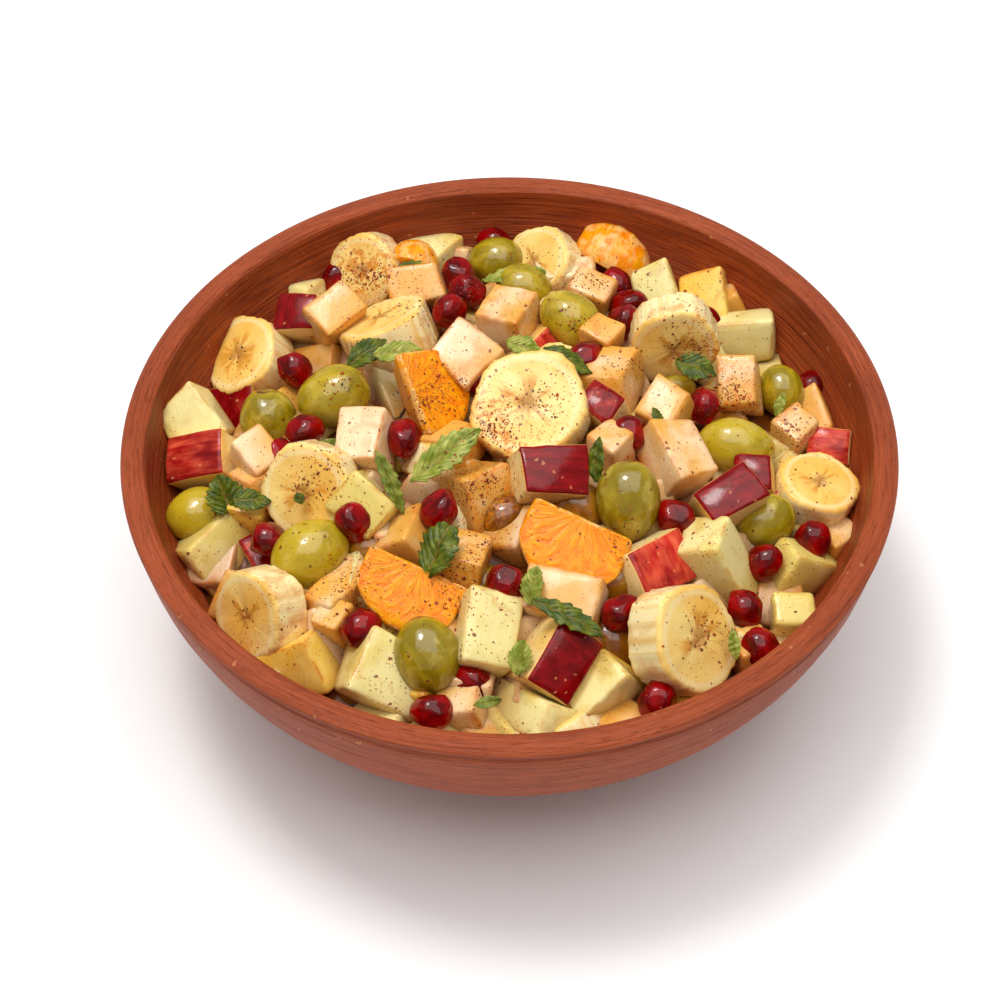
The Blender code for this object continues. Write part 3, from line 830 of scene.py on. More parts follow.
# %% Slice shape
def banana_slice(diameter, thickness, seed):
    dice = np.random.default_rng(seed)
    half, radius = thickness / 2, diameter / 2
    soft = 1.3
    upper = [(radius * share, half) for share in (0.06, 0.14, 0.24, 0.36, 0.48, 0.6, 0.72, 0.82)]
    upper += [(radius - soft + soft * math.sin(a), half - soft + soft * math.cos(a))
              for a in np.radians((0, 18, 36, 54, 72, 90))]
    upper.append((radius, (half - soft) / 2))
    outline = np.array(upper + [(radius, 0.0)] + [(reach, -height) for reach, height in upper[::-1]])
    sides = 72
    around = np.tile(np.arange(sides) * math.tau / sides, len(outline))
    reach = np.repeat(outline[:, 0], sides)
    height = np.repeat(outline[:, 1], sides)
    share = reach / radius
    phase = dice.uniform(0, math.tau, 4)
    shape = 1 + 0.035 * np.cos(5 * around + phase[0]) + 0.03 * np.cos(2 * around + phase[1])
    ribs = 0.012 * np.sin(21 * around + phase[2]) + 0.008 * np.sin(34 * around + phase[3])
    reach = reach * (shape + ribs * (share > 0.9))
    star = 0.5 + 0.5 * np.cos(3 * around + phase[0])
    dent = 0.35 * np.exp(-((share / 0.3) ** 2)) * (0.4 + star) - 0.25 * (1 - share**2)
    height = height - np.sign(height) * dent * (share < 0.97)
    points = np.column_stack([reach * np.cos(around), reach * np.sin(around), height])
    points = np.vstack([points, [(0, 0, half - 0.3), (0, 0, 0.3 - half)]])
    points[:, 2] += 0.18 * uneven(points, 9.0, seed)
    spots = points / (radius, radius, half)
    rims = np.concatenate([np.exp(-np.abs(1 - share) * radius / 1.2), [0, 0]])
    return points, ring_faces(len(outline), sides), spots, rims


# %% Banana finish
def banana_finish():
    fruit = Finish("banana_flesh", 0.38, Specular_IOR_Level=0.35, Coat_Weight=0.12, Coat_Roughness=0.15,
                   Subsurface_Weight=0.3, Subsurface_Scale=0.003, Subsurface_Radius=(1.0, 0.6, 0.2))
    spot = fruit.vector("spot")
    rim = fruit.value("rim")
    tone = fruit.value("tone")
    place = fruit.place()
    split = fruit.node("ShaderNodeSeparateXYZ", {0: spot})
    flat = fruit.node("ShaderNodeCombineXYZ", {0: split.outputs[0], 1: split.outputs[1], 2: 0.0}).outputs[0]
    reach = fruit.node("ShaderNodeVectorMath", {0: flat}, operation="LENGTH").outputs["Value"]
    heading = fruit.node("ShaderNodeVectorMath", {0: flat}, operation="NORMALIZE").outputs["Vector"]
    heading = fruit.node("ShaderNodeVectorMath", {0: heading, 1: fruit.node(
        "ShaderNodeCombineXYZ", {2: tone}).outputs[0]}, operation="ADD").outputs["Vector"]
    streaks = fruit.noise(fruit.stretched(heading, (1.7, 1.7, 9.0)), 1.0, 1.0, 0.2)
    fine = fruit.noise(fruit.stretched(heading, (8.0, 8.0, 9.0)), 1.0, 2.0, 0.3)
    on_face = fruit.span(fruit.math("ABSOLUTE", split.outputs[2]), 0.78, 0.92)
    drift = fruit.noise(place, 60.0, 3.0)
    base = fruit.mix(fruit.span(drift, 0.35, 0.7), tint(252, 218, 132), tint(244, 190, 84))
    side = fruit.mix(fruit.span(fine, 0.45, 0.75), tint(254, 234, 176), tint(244, 206, 126))
    ray = fruit.math("MULTIPLY", fruit.span(streaks, 0.5, 0.62), fruit.span(reach, 0.12, 0.3))
    ragged = fruit.math("ADD", reach, fruit.math("MULTIPLY", fruit.noise(place, 420.0, 3.0), 0.3))
    ray = fruit.math("MULTIPLY", ray, fruit.span(ragged, 0.5, 0.76, 1.0, 0.0))
    colour = fruit.mix(fruit.math("MULTIPLY", ray, 0.8), base, tint(214, 142, 34))
    thin = fruit.math("MULTIPLY", fruit.span(fine, 0.55, 0.75), fruit.span(reach, 0.3, 0.7, 0.1, 0.0))
    colour = fruit.mix(thin, colour, tint(230, 172, 70))
    ring = fruit.math("MULTIPLY", fruit.span(reach, 0.74, 0.82), fruit.span(reach, 0.84, 0.94, 1.0, 0.0))
    colour = fruit.mix(fruit.math("MULTIPLY", ring, 0.4), colour, tint(255, 240, 190))
    heart = fruit.span(fruit.math("ADD", reach, fruit.math("MULTIPLY", streaks, -0.3)), -0.06, 0.14, 1.0, 0.0)
    colour = fruit.mix(fruit.math("MULTIPLY", heart, 0.75), colour, tint(180, 116, 44))
    seeds = fruit.cells(fruit.stretched(flat, (11.0, 7.0, 1.0)), 1.0)
    near_heart = fruit.span(reach, 0.2, 0.34, 1.0, 0.0)
    seed = fruit.math("MULTIPLY", fruit.span(seeds, 0.2, 0.3, 1.0, 0.0), near_heart)
    colour = fruit.mix(seed, colour, tint(62, 36, 18))
    colour = fruit.mix(on_face, side, colour)
    patch = fruit.noise(place, 170.0, 3.0)
    edge = fruit.math("MULTIPLY", fruit.span(rim, 0.4, 1.0), fruit.span(patch, 0.45, 0.65))
    colour = fruit.mix(fruit.math("MULTIPLY", edge, 0.55), colour, tint(214, 140, 52))
    colour = fruit.spiced(fruit.soaked_and_shaded(colour), place)
    surface = fruit.relief(fine, 0.12)
    surface = fruit.relief(streaks, 0.3, surface)
    surface = fruit.relief(fruit.noise(place, 1800.0, 3.0), 0.05, surface)
    return fruit.finish(Base_Color=colour, Normal=surface)


# %% Placed banana slices
SLICES = (
    # x, y, lift, diameter, thickness, angle in the view that its face leans to, its rise, tone
    (-78, 43, 3, 25, 12, 135, 45, 0.1),
    (-44, 77, 4, 22, 12, 180, 68, 0.4),
    (-54, -18, 4, 25, 10, 190, 66, 0.7),
    (-37, 49, 4, 27, 13, 110, 17, 0.2),
    (5, 8, 7, 31, 12, 110, 70, 0.9),
    (7, 78, 1, 23, 10, 150, 50, 0.3),
    (46, 35, 4, 25, 11, 280, 55, 0.6),
    (84, -6, 4, 22, 11, 75, 45, 0.5),
    (-67, -53, 3, 24, 11, 185, 40, 0.35),
    (48, -61, 6, 28, 12, 12, 46, 0.8),
)
bananas = Tray("banana_slices", "banana")
for number, (x, y, lift, diameter, thickness, angle, rise, tone) in enumerate(SLICES):
    spot = heap_spot(x, y)
    face = pointing(spot, angle, rise)
    middle = spot + view_axes(spot)[2] * lift - face * thickness / 2
    shape = banana_slice(diameter, thickness, 300 + number)
    bananas.add(shape, facing(spot, angle, rise, 47 * number), middle, tone)

# %% [markdown]
# ## Grapes
#
# A grape is an egg-shaped ball with a small brown scar where its stalk was. Its skin is thin and the flesh
# lets light through, so the finish leans on subsurface scattering under a clear, smooth coat. A ball made
# of rings round the long axis gives a clean place for the scar at one pole.


# %% Grape shape
def grape(width, length, seed, sides=36, rows=22):
    dice = np.random.default_rng(seed)
    rings = np.linspace(0, math.pi, rows + 1)[1:-1]
    around = np.tile(np.arange(sides) * math.tau / sides, len(rings))
    down = np.repeat(rings, sides)
    egg = 1 + 0.05 * np.cos(down) * dice.choice((-1, 1))
    points = np.column_stack([
        np.sin(down) * np.cos(around) * width / 2 * egg,
        np.sin(down) * np.sin(around) * width / 2 * egg * dice.uniform(0.94, 1.0),
        np.cos(down) * length / 2,
    ])
    points = np.vstack([points, [(0, 0, length / 2 - 0.5), (0, 0, -length / 2)]])
    points *= 1 + 0.018 * uneven(points, 12.0, seed)[:, None]
    spots = points / (width / 2, width / 2, length / 2)
    return points, ring_faces(len(rings), sides), spots, np.zeros(len(points))


# %% Grape finishes
def grape_finish(name, dark, light, haze_and_sheen, glow):
    fruit = Finish(name, 0.14, Coat_Weight=0.3, Coat_Roughness=0.04, Subsurface_Weight=0.8,
                   Subsurface_Scale=0.006, Subsurface_Radius=glow)
    spot = fruit.vector("spot")
    tone = fruit.value("tone")
    place = fruit.place()
    veins = fruit.noise(fruit.stretched(spot, (1.6, 1.6, 0.8)), 1.0, 4.0, 0.6)
    drift = fruit.math("ADD", veins, fruit.math("MULTIPLY", fruit.math("SUBTRACT", tone, 0.5), 0.5))
    colour = fruit.mix(fruit.span(drift, 0.3, 0.75), light, dark)
    height = fruit.node("ShaderNodeSeparateXYZ", {0: spot}).outputs[2]
    scar = fruit.span(fruit.math("ADD", height, fruit.math("MULTIPLY", veins, 0.02)), 0.975, 0.99)
    colour = fruit.mix(scar, colour, tint(104, 58, 24))
    # Pale patches on the skin: partly the grape's waxy bloom, partly painted sheen of soft highlights.
    bloom_and_sheen = fruit.span(fruit.noise(place, 150.0, 4.0, 0.6), 0.52, 0.68, 0.0, 0.4)
    colour = fruit.mix(bloom_and_sheen, colour, haze_and_sheen)
    colour = fruit.spiced(fruit.soaked_and_shaded(colour, 0.5), place, 0.6)
    surface = fruit.relief(fruit.noise(place, 180.0, 4.0), 0.45)
    return fruit.finish(Base_Color=colour, Normal=surface)


green_skin = grape_finish("green_grape_skin", tint(142, 122, 8), tint(194, 168, 32), tint(214, 194, 96),
                           (1.0, 0.85, 0.1))
dark_skin = grape_finish("amber_grape_skin", tint(116, 62, 6), tint(176, 118, 22), tint(196, 140, 60),
                          (1.0, 0.6, 0.05))

# %% Placed grapes
GREEN_GRAPES = (
    # x, y, lift, width, length, angle of the long axis in the view, its rise
    (-48, 15, 4, 17, 21, 18, 5), (-66, 11, 2, 16, 16, 90, 20), (-83, -19, 2, 15, 17, 10, 0),
    (-4, 77, 2, 15, 17, 0, 0), (4, 60, 1, 15, 17, 170, 0), (17, 45, 4, 15, 19, 150, 0),
    (31, -24, 5, 17, 22, 95, 10), (61, 0, 4, 15, 21, 358, 0), (76, 26, 3, 13, 15, 110, 0),
    (67, -24, 2, 15, 17, 25, 0), (-51, -38, 5, 18, 22, 30, 0), (-20, -68, 5, 17, 20, 105, 10),
)
DARK_GRAPES = (
    (18, -27, -4, 14, 16, 150, 0), (-1, -31, -5, 14, 15, 30, 0), (26, -48, -4, 13, 16, 20, 0),
    (26, -64, -4, 16, 18, 140, 0), (14, -85, -4, 14, 16, 20, 0), (-35, -38, -5, 13, 15, 10, 0),
    (50, 76, -3, 14, 17, 0, 0), (-50, -56, -5, 14, 16, 30, 0),
)
grapes = Tray("green_grapes", "grape")
dark_grapes = Tray("amber_grapes", "grape")
for tray, rows in ((grapes, GREEN_GRAPES), (dark_grapes, DARK_GRAPES)):
    for number, (x, y, lift, width, length, angle, rise) in enumerate(rows):
        spot = heap_spot(x, y)
        middle = spot + view_axes(spot)[2] * (lift - width / 2)
        tone = 0.5 + 0.3 * math.sin(2.4 * number)
        tray.add(grape(width, length, 400 + number), facing(spot, angle, rise), middle, tone)

# %% [markdown]
# ## Orange segments
#
# A segment is a wedge of a ball: thick and pale-skinned outside, thin at the core, with glassy juice sacs
# that fan out between the two. It is the same block grid bent round an axis, so that one direction of the
# grid becomes the distance from the core and another the angle round it. The sacs are raised in the mesh
# and again, finer, in the finish.


# %% Segment shape
def orange_segment(length, height, opening, seed):
    """A wedge with its core along x at the bottom, opening by an angle at the outside."""
    points, faces, spots, rims = chunk((length, height * 0.8, height), seed, 1.6, wander=0.05)
    half = math.radians(opening) / 2
    share = points / (length / 2, height * 0.4, height / 2)
    bow = np.sqrt(np.clip(1 - (0.82 * share[:, 0]) ** 2, 0.05, 1))
    reach = 1.5 + (share[:, 2] + 1) / 2 * height * bow
    angle = share[:, 1] * half
    fan = np.arctan2(share[:, 2] + 1.3, share[:, 0] * 0.9)
    sacs = np.abs(np.sin(fan * 17 + 1.4 * np.sin(reach * 0.7 + seed)))
    on_side = np.abs(spots[:, 1]) > 0.99
    swell = np.where(on_side, 0.35 * sacs * np.sign(spots[:, 1]), 0.0)
    bent = np.column_stack([points[:, 0], reach * np.sin(angle) + swell, reach * np.cos(angle) - height / 2])
    return bent, faces, spots, rims


def orange_finish():
    fruit = Finish("orange_pulp", 0.25, Specular_IOR_Level=0.25, Coat_Weight=0.1, Coat_Roughness=0.06,
                   Subsurface_Weight=0.5, Subsurface_Scale=0.003, Subsurface_Radius=(1.0, 0.4, 0.04))
    spot = fruit.vector("spot")
    rim = fruit.value("rim")
    place = fruit.place()
    split = fruit.node("ShaderNodeSeparateXYZ", {0: spot})
    rise = fruit.math("ADD", split.outputs[2], 1.3)
    fan = fruit.math("ARCTAN2", rise, fruit.math("MULTIPLY", split.outputs[0], 0.9))
    far = fruit.math("ADD", fruit.math("POWER", rise, 2.0), fruit.math("POWER", split.outputs[0], 2.0))
    ray = fruit.node("ShaderNodeCombineXYZ", {0: fan, 1: far, 2: split.outputs[1]}).outputs[0]
    sacs = fruit.noise(fruit.stretched(ray, (13.0, 0.8, 1.0)), 1.0, 3.0, 0.6)
    threads = fruit.span(fruit.noise(fruit.stretched(ray, (24.0, 1.4, 1.0)), 1.0, 2.0, 0.9), 0.58, 0.68)
    colour = fruit.mix(fruit.span(sacs, 0.3, 0.7), tint(250, 132, 1), tint(255, 170, 8))
    colour = fruit.mix(fruit.math("MULTIPLY", threads, 0.3), colour, tint(255, 190, 60))
    outer = fruit.span(split.outputs[2], 0.9, 0.99)
    core = fruit.span(split.outputs[2], -0.99, -0.9, 1.0, 0.0)
    pith = fruit.math("MAXIMUM", outer, core)
    pith = fruit.math("MULTIPLY", pith, 0.55)
    pith = fruit.math("MAXIMUM", pith, fruit.math("MULTIPLY", fruit.span(rim, 0.55, 0.95), 0.6))
    ragged = fruit.span(fruit.noise(place, 300.0, 3.0), 0.42, 0.62)
    colour = fruit.mix(fruit.math("MULTIPLY", pith, ragged), colour, tint(255, 214, 140))
    colour = fruit.spiced(fruit.soaked_and_shaded(colour, 0.3), place, 0.7)
    surface = fruit.relief(sacs, 0.6)
    surface = fruit.relief(fruit.noise(place, 900.0, 3.0), 0.08, surface)
    return fruit.finish(Base_Color=colour, Normal=surface)


# %% Placed orange segments
SEGMENTS = (
    # x, y, lift, length, height, opening, way of the core's line, way from core to rind (angle, rise)
    (-25, -51, 3, 27, 17, 46, (332, 0), (242, -15)),
    (16, -39, 4, 27, 20, 42, (338, 0), (248, -12)),
    (-23, 12, 6, 23, 19, 62, (288, 10), (10, -68)),
    (31, 85, 2, 24, 15, 60, (335, 0), (75, 62)),
    (-29, 75, -1, 16, 14, 50, (335, 0), (65, 30)),
)
oranges = Tray("orange_segments", "orange")
for number, (x, y, lift, length, height, opening, along_core, to_rind) in enumerate(SEGMENTS):
    spot = heap_spot(x, y)
    turning = square_axes(pointing(spot, *along_core), pointing(spot, *to_rind))
    middle = spot + view_axes(spot)[2] * (lift - height * 0.3)
    oranges.add(orange_segment(length, height, opening, 500 + number), turning, middle, 0.5)

# %% [markdown]
# ## Pomegranate seeds
#
# Each seed sits in a sac of clear red juice that its neighbours pressed into facets. The shape is a long
# ball whose far points are pushed back to a handful of planes. The sac is a half clear red that refracts,
# and a paler red seed inside it gives the brighter streak seen through the juice.


# %% Seed shape
def ruby_sac(size, seed, flats=9):
    points, faces, spots, rims = grape(size[0], size[2], seed, 26, 18)
    dice = np.random.default_rng(seed)
    narrow = 1 - 0.16 * np.clip(-spots[:, 2], 0, 1)
    points[:, :2] *= narrow[:, None]
    for _ in range(flats):
        way = dice.normal(size=3)
        way /= np.linalg.norm(way)
        away = points @ way
        limit = dice.uniform(0.80, 0.92) * away.max()
        points -= np.outer(np.maximum(away - limit, 0) * 0.85, way)
    return points, faces, spots, rims


def ruby_finish():
    ruby = Finish("ruby_juice", 0.04, Transmission_Weight=0.5, IOR=1.38)
    spot = ruby.vector("spot")
    drift = ruby.noise(ruby.stretched(spot, (1.3, 1.3, 0.8)), 1.0, 2.0)
    colour = ruby.mix(ruby.span(drift, 0.35, 0.7), tint(196, 0, 6), tint(104, 0, 2))
    surface = ruby.relief(ruby.noise(ruby.place(), 260.0, 2.0), 0.12)
    return ruby.finish(Base_Color=colour, Normal=surface)


def pip_finish():
    pip = Finish("pomegranate_pip", 0.3)
    drift = pip.noise(pip.place(), 400.0, 3.0)
    colour = pip.mix(pip.span(drift, 0.3, 0.7), tint(224, 46, 38), tint(176, 8, 12))
    return pip.finish(Base_Color=colour)


# %% Placed seeds
SEEDS = (
    (-52, 74, 0), (-60, 29, 2), (-55, 3, 1), (-62, -5, 0), (-5, 91, 1), (11, 78, 1), (-15, 68, 1),
    (-12, 59, 0), (-17, 49, 1), (31, 66, 1), (34, 55, 0), (32, 45, 0), (56, 51, 1), (21, 27, 0),
    (-28, -3, 1), (-10, 17, 1), (-18, -28, 3), (-40, -30, 3), (32, -1, 1), (53, 13, 1), (43, -27, 0),
    (85, 31, -1), (80, -27, 1), (-62, -32, 1), (-37, -60, 3), (-9, -75, -3), (-19, -82, 1),
    (-1, -50, 2), (64, -61, 1), (29, -56, 2), (37, -78, 2), (60, -51, -2), (66, -37, -2),
)
SEED_SIZE = (10.0, 10.0, 12.0)
SEED_DEPTH = 3.5
rubies = Tray("pomegranate_seeds", "pomegranate")
pips = Tray("pomegranate_pips", "pomegranate")
for number, (x, y, lift) in enumerate(SEEDS):
    spot = heap_spot(x, y)
    turning = facing(spot, 60 + 67 * number, 5 + 11 * (number % 3))
    middle = spot + view_axes(spot)[2] * (lift - SEED_DEPTH)
    rubies.add(ruby_sac(SEED_SIZE, 600 + number), turning, middle, 0.5)
    pips.add(grape(3.4, 7.0, 700 + number, 12, 8), turning, middle, 0.5)

# %% [markdown]
# ## The layer underneath
#
# Looking straight down, or from the far side, you see past the top pieces to the ones below. These only
# need to be right in size and colour, so dice choose them: one piece for each cell of a grid, with a
# lighter mesh, sunk under the placed ones. The same seed gives the same heap each run.

# %% Hidden pieces
dice = np.random.default_rng(11)
UNDER_PITCH = 15.5
UNDER_DEPTH = 14.5
UNDER_REACH = 86
hidden = 0
for row in range(-7, 8):
    for column in range(-7, 8):
        x = (column + 0.5 * (row % 2)) * UNDER_PITCH + dice.uniform(-2.5, 2.5)
        y = row * UNDER_PITCH * 0.87 + dice.uniform(-2.5, 2.5)
        kind = dice.choice(("apple", "melon", "mango", "skin", "grape", "banana"),
                           p=(0.34, 0.26, 0.08, 0.1, 0.14, 0.08))
        size = dice.uniform(13, 17, 3)
        turning = Matrix.Rotation(dice.uniform(0, math.tau), 3, "Z")
        turning = Matrix.Rotation(dice.uniform(-0.8, 0.8), 3, "X") @ turning
        turning = Matrix.Rotation(dice.uniform(-0.8, 0.8), 3, "Y") @ turning
        tone = dice.uniform(0.2, 0.8)
        if math.hypot(x, y) > UNDER_REACH:
            continue
        middle = Vector((x, y, skin(x, y) - UNDER_DEPTH + dice.uniform(-1, 1)))
        seed = int(1000 + hidden)
        if kind in trays:
            trays[kind].add(chunk(size, seed, softness[kind], grid=PLAIN_BLOCK), turning, middle, tone)
        elif kind == "grape":
            grapes.add(grape(15, 18, seed, 20, 12), turning, middle, tone)
        else:
            bananas.add(banana_slice(25, 10, seed), turning, middle, tone)
        hidden += 1
print(hidden, "pieces under the top layer")

# %% Join each kind
fruit = [
    apples.join(apple_flesh), melons.join(melon_flesh), mangoes.join(mango_flesh), skins.join(skinned_apple),
    bananas.join(banana_finish()), grapes.join(green_skin), dark_grapes.join(dark_skin),
    oranges.join(orange_finish()), rubies.join(ruby_finish()), pips.join(pip_finish()),
]

# %% [markdown]
# ## Torn mint
#
# A mint leaf is a saw-edged oval with a sunken midrib and side veins, and it puffs up between the veins.
# The blade is a grid along and across the leaf; rows of the grid near the edge are pushed out into teeth.
# A lower copy and a wall round the edge give it the thickness of a real leaf. Torn bits are the same leaf
# cut short.


# %% Leaf shape
def mint_leaf(length, width, seed, start=0.0, end=1.0, curl=0.25, fold=0.3, teeth=7):
    dice = np.random.default_rng(seed)
    rows, columns = 49, 25
    along = np.linspace(start, end, rows)
    across = np.linspace(-1, 1, columns)
    u, v = np.meshgrid(along, across, indexing="ij")
    outline = np.sin(math.pi * np.clip(u, 0.02, 0.985) ** 0.8) ** 0.75
    saw = (u * teeth) % 1.0
    reach = outline * width / 2 * (1 + 0.24 * (saw - 0.5) * np.abs(v) ** 4)
    vein = (u - 0.30 * np.abs(v)) * teeth
    puff = np.abs(np.sin(math.pi * vein)) ** 0.6 * (1 - np.abs(v) ** 4) * np.minimum(1, 4 * np.abs(v))
    x = (u - (start + end) / 2) * length + 0.06 * length * np.abs(v) * outline
    y = v * reach
    z = fold * np.abs(y) * 0.5 + 0.07 * width * puff - curl * (x / length * 2) ** 2 * length * 0.18
    z += 0.5 * np.sin(3.0 * u + dice.uniform(0, 6)) * v
    top = np.column_stack([x.ravel(), y.ravel(), z.ravel()])
    top += (0.05 * width) * uneven(top, 0.55 * width, seed)[:, None] * (0.4, 0.4, 1.0)
    low = top - (0, 0, 0.32)
    points = np.vstack([top, low])
    spots = np.column_stack([np.tile(u.ravel(), 2), np.tile(v.ravel(), 2), np.repeat([1.0, 0.0], u.size)])
    count = rows * columns
    faces = []
    for i in range(rows - 1):
        for j in range(columns - 1):
            at = i * columns + j
            quad = [at, at + columns, at + columns + 1, at + 1]
            faces.append(quad)
            faces.append([corner + count for corner in quad[::-1]])
    edge = [j for j in range(columns)]
    edge += [i * columns + columns - 1 for i in range(1, rows)]
    edge += [(rows - 1) * columns + j for j in range(columns - 2, -1, -1)]
    edge += [i * columns for i in range(rows - 2, 0, -1)]
    for here, there in zip(edge, edge[1:] + edge[:1]):
        faces.append([here, there, there + count, here + count])
    return points, faces, spots, np.zeros(len(points))


def mint_finish():
    leaf = Finish("mint_leaf", 0.4, Specular_IOR_Level=0.35, Subsurface_Weight=0.2,
                  Subsurface_Scale=0.001, Subsurface_Radius=(0.8, 1.0, 0.1))
    spot = leaf.vector("spot")
    tone = leaf.value("tone")
    place = leaf.place()
    split = leaf.node("ShaderNodeSeparateXYZ", {0: spot})
    side = leaf.math("ABSOLUTE", split.outputs[1])
    slant = leaf.math("SUBTRACT", split.outputs[0], leaf.math("MULTIPLY", side, 0.3))
    slant = leaf.math("MULTIPLY", slant, 8.0)
    wave = leaf.math("ABSOLUTE", leaf.math("SINE", leaf.math("MULTIPLY", slant, math.pi)))
    vein = leaf.math("MAXIMUM", leaf.span(wave, 0.05, 0.22, 1.0, 0.0), leaf.span(side, 0.03, 0.09, 1.0, 0.0))
    drift = leaf.noise(place, 420.0, 4.0)
    deep = leaf.mix(leaf.span(drift, 0.35, 0.7), tint(56, 78, 4), tint(112, 122, 18))
    pale = leaf.mix(leaf.span(drift, 0.35, 0.7), tint(122, 138, 30), tint(184, 184, 88))
    colour = leaf.mix(leaf.span(tone, 0.3, 0.8), deep, pale)
    colour = leaf.mix(leaf.math("MULTIPLY", vein, 0.6), colour, tint(134, 96, 34))
    surface = leaf.relief(leaf.noise(place, 1500.0, 3.0), 0.08)
    surface = leaf.relief(vein, 0.1, surface)
    return leaf.finish(Base_Color=colour, Normal=surface)


# %% Placed leaves
LEAVES = (
    # x, y, lift, length, width, angle of the midrib in the view, (angle, rise) of its upper side,
    # start, end, tone
    (-76, -14, 5, 12, 10, 100, (90, 55), 0.1, 1.0, 0.2),
    (-68, -18, 5, 11, 6, 350, (90, 60), 0.1, 1.0, 0.25),
    (-50, -4, 5, 9, 4, 22, (90, 60), 0.0, 1.0, 0.4),
    (-55, -20, 6, 4, 3, 60, (90, 80), 0.2, 0.9, 0.3),
    (-28, 71, 4, 14, 9, 340, (100, 60), 0.0, 0.9, 0.15),
    (-40, 32, 6, 13, 7, 30, (100, 55), 0.0, 1.0, 0.25),
    (-31, 31, 7, 14, 7, 5, (80, 60), 0.0, 1.0, 0.95),
    (1, 69, 4, 19, 6, 10, (90, 50), 0.0, 1.0, 0.8),
    (52, 29, 6, 12, 8, 345, (110, 60), 0.0, 1.0, 0.3),
    (4, 31, 5, 11, 7, 340, (90, 60), 0.0, 1.0, 0.9),
    (16, 26, 5, 15, 7, 335, (70, 50), 0.0, 1.0, 0.1),
    (-17, -10, 7, 23, 9, 36, (120, 65), 0.0, 1.0, 0.95),
    (-31, -18, 5, 18, 5, 290, (10, 65), 0.0, 1.0, 0.55),
    (23, -11, 5, 12, 5, 268, (180, 55), 0.0, 1.0, 0.2),
    (40, 6, 5, 6, 3, 300, (90, 60), 0.0, 1.0, 0.3),
    (75, 20, 5, 7, 3, 80, (90, 80), 0.0, 1.0, 0.85),
    (-18, -40, 5, 16, 11, 65, (150, 60), 0.0, 0.9, 0.15),
    (6, -50, 5, 10, 6, 80, (180, 60), 0.0, 1.0, 0.7),
    (15, -58, 9, 20, 6, 335, (60, 50), 0.0, 1.0, 0.3),
    (3, -69, 5, 9, 6, 80, (90, 70), 0.0, 1.0, 0.75),
    (-5, -80, 6, 7, 3, 10, (90, 80), 0.0, 1.0, 0.6),
    (57, -61, 6, 8, 3, 105, (90, 80), 0.0, 1.0, 0.85),
)
mint = Tray("mint_leaves", "mint")
for number, (x, y, lift, length, width, angle, upper, start, end, tone) in enumerate(LEAVES):
    spot = heap_spot(x, y)
    turning = square_axes(pointing(spot, angle, 0), pointing(spot, *upper))
    shape = mint_leaf(length, width, 800 + number, start, end)
    mint.add(shape, turning, spot + view_axes(spot)[2] * lift, tone)
fruit.append(mint.join(mint_finish()))

# %% [markdown]
# ## Chilli and pepper
#
# The dust is drawn in the finishes, but the coarse grains are real bits that stand on the fruit. To find
# where they lie, each grain is dropped along a line onto the finished heap, as from a shaken spoon. Some
# fall all over, and most fall in the clumps where the spoon tapped.

# %% Spice finish
def spice_finish():
    spice = Finish("ground_spice", 0.5)
    tone = spice.value("tone")
    colour = spice.mix(spice.span(tone, 0.1, 0.3), tint(36, 16, 4), tint(130, 38, 6))
    colour = spice.mix(spice.span(tone, 0.3, 1.0), colour, tint(196, 80, 12))
    colour = spice.mix(spice.span(spice.noise(spice.place(), 1500.0, 2.0), 0.4, 0.6, 0.0, 0.3), colour,
                       tint(60, 20, 8))
    return spice.finish(Base_Color=colour)


# %% Drop the grains
bits = bmesh.new()
bmesh.ops.create_icosphere(bits, subdivisions=1, radius=0.5)
bit_points = np.array([point.co for point in bits.verts])
bit_faces = [[point.index for point in face.verts] for face in bits.faces]
bits.free()


def landing_finder(objects):
    """A tree that finds where a line meets any of the objects."""
    corners, faces = [], []
    for item in objects:
        start = len(corners)
        corners.extend([tuple(point.co / MM) for point in item.data.vertices])
        faces.extend([[start + corner for corner in face.vertices] for face in item.data.polygons])
    return BVHTree.FromPolygons(corners, faces)


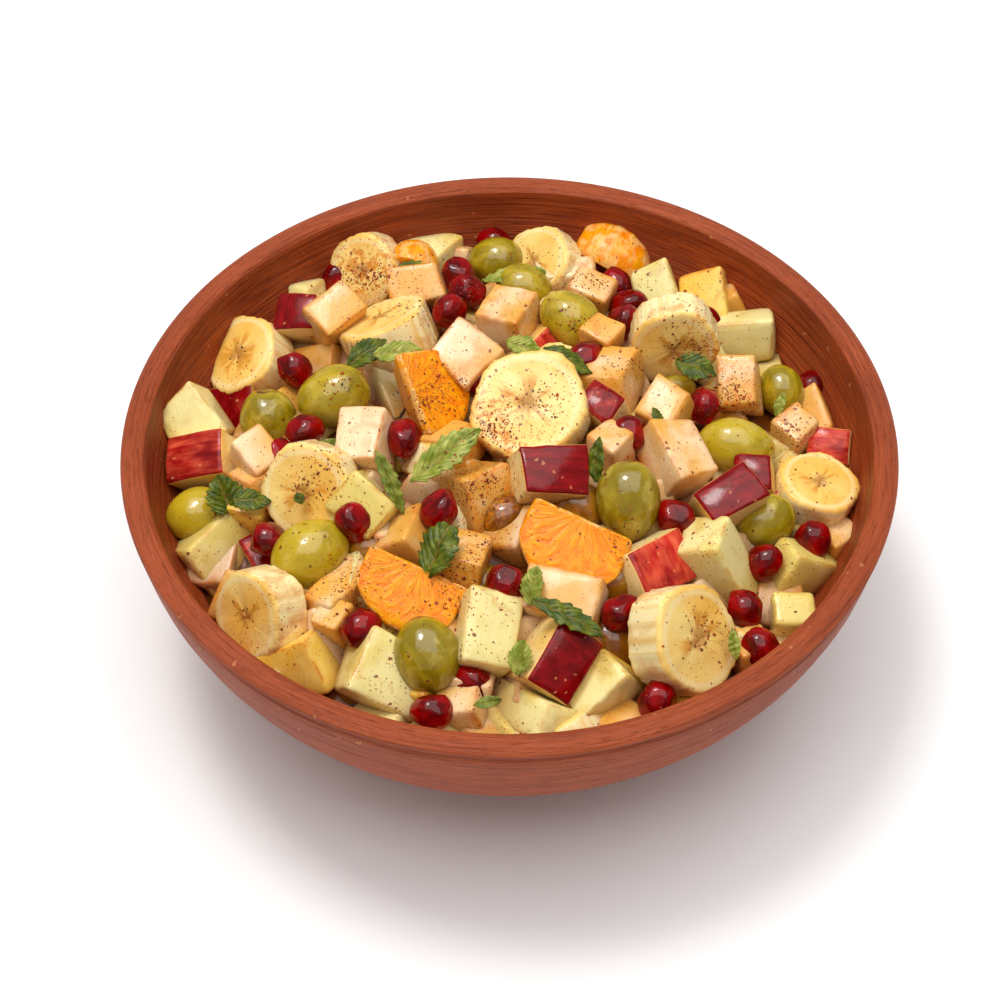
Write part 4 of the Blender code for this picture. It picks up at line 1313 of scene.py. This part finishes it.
heap_tree = landing_finder(fruit)
GRAINS = 2300
spices = Tray("chilli_and_pepper", "spice")
shares = np.array([clump[3] for clump in CLUMPS])
for number in range(GRAINS):
    if number % 5 == 0:
        away, angle = 90 * math.sqrt(dice.uniform()), dice.uniform(0, math.tau)
        x, y = away * math.cos(angle), away * math.sin(angle)
    else:
        clump = CLUMPS[dice.choice(len(CLUMPS), p=shares / shares.sum())]
        x, y = dice.normal(clump[0], clump[2] * 0.6), dice.normal(clump[1], clump[2] * 0.6)
    scale = dice.uniform(0.3, 0.62) + 0.5 * (dice.uniform() > 0.96)
    size = scale * dice.uniform((0.8, 0.5, 0.3), (1.5, 1.0, 0.6))
    turn, tone = dice.uniform(0, math.tau), dice.uniform() ** 0.8
    shiver = dice.uniform(0.8, 1.2, (len(bit_points), 1))
    way = view_axes(heap_spot(x, y))[2]
    spot, normal, _, _ = heap_tree.ray_cast(heap_spot(x, y) + way * 50, -way)
    if spot is None or math.hypot(spot.x, spot.y) > HEAP_RADIUS:
        continue
    upright = normal.to_track_quat("Z", "Y").to_matrix() @ Matrix.Rotation(turn, 3, "Z")
    points = bit_points * size * shiver
    shape = points, bit_faces, points, np.zeros(len(points))
    spices.add(shape, upright, spot + normal * size[2] * 0.2, tone)
spices.join(spice_finish())

# %% [markdown]
# ## Floor and light
#
# A pale floor and soft studio light. A wide lamp right over the bowl lights the heap evenly and keeps the
# shadow close under the rim. A small one at the back left adds the sharp highlights on wet skins and juice,
# and the pale surroundings brighten every shadow. The plain view transform keeps the colours as strong as
# they are.

# %% Floor
floor_finish = Finish("pale_floor", 0.6)
floor_noise = floor_finish.noise(floor_finish.place(), 30.0, 2.0)
floor_colour = floor_finish.mix(floor_noise, tint(252, 252, 252), tint(255, 255, 255))
floor_mesh = bpy.data.meshes.new("floor")
FLOOR_HALF = 2.5
floor_mesh.from_pydata([(-FLOOR_HALF, -FLOOR_HALF, 0), (FLOOR_HALF, -FLOOR_HALF, 0),
                        (FLOOR_HALF, FLOOR_HALF, 0), (-FLOOR_HALF, FLOOR_HALF, 0)], [], [(0, 1, 2, 3)])
floor = bpy.data.objects.new("floor", floor_mesh)
floor.location.z = bowl_low.z
floor_mesh.materials.append(floor_finish.finish(Base_Color=floor_colour))
bpy.context.scene.collection.objects.link(floor)


# %% Lamps and surroundings
def lamp(name, place, size, power, colour):
    light = bpy.data.lights.new(name, "AREA")
    light.size = size
    light.energy = power
    light.color = colour
    made = bpy.data.objects.new(name, light)
    made.location = place
    made.rotation_euler = (rim_middle - Vector(place)).to_track_quat("-Z", "Y").to_euler()
    bpy.context.scene.collection.objects.link(made)


lamp("window", (-0.3, 0.2, 1.5), 0.35, 7.5, (1.0, 0.98, 0.95))
lamp("overhead", (0.0, 0.0, 1.3), 1.5, 15.0, (1.0, 1.0, 1.0))
world = bpy.data.worlds.new("studio")
bpy.context.scene.world = world
world.use_nodes = True
world.node_tree.nodes["Background"].inputs["Color"].default_value = (1.0, 1.0, 1.0, 1.0)
world.node_tree.nodes["Background"].inputs["Strength"].default_value = 0.34
bpy.context.scene.view_settings.view_transform = "Standard"
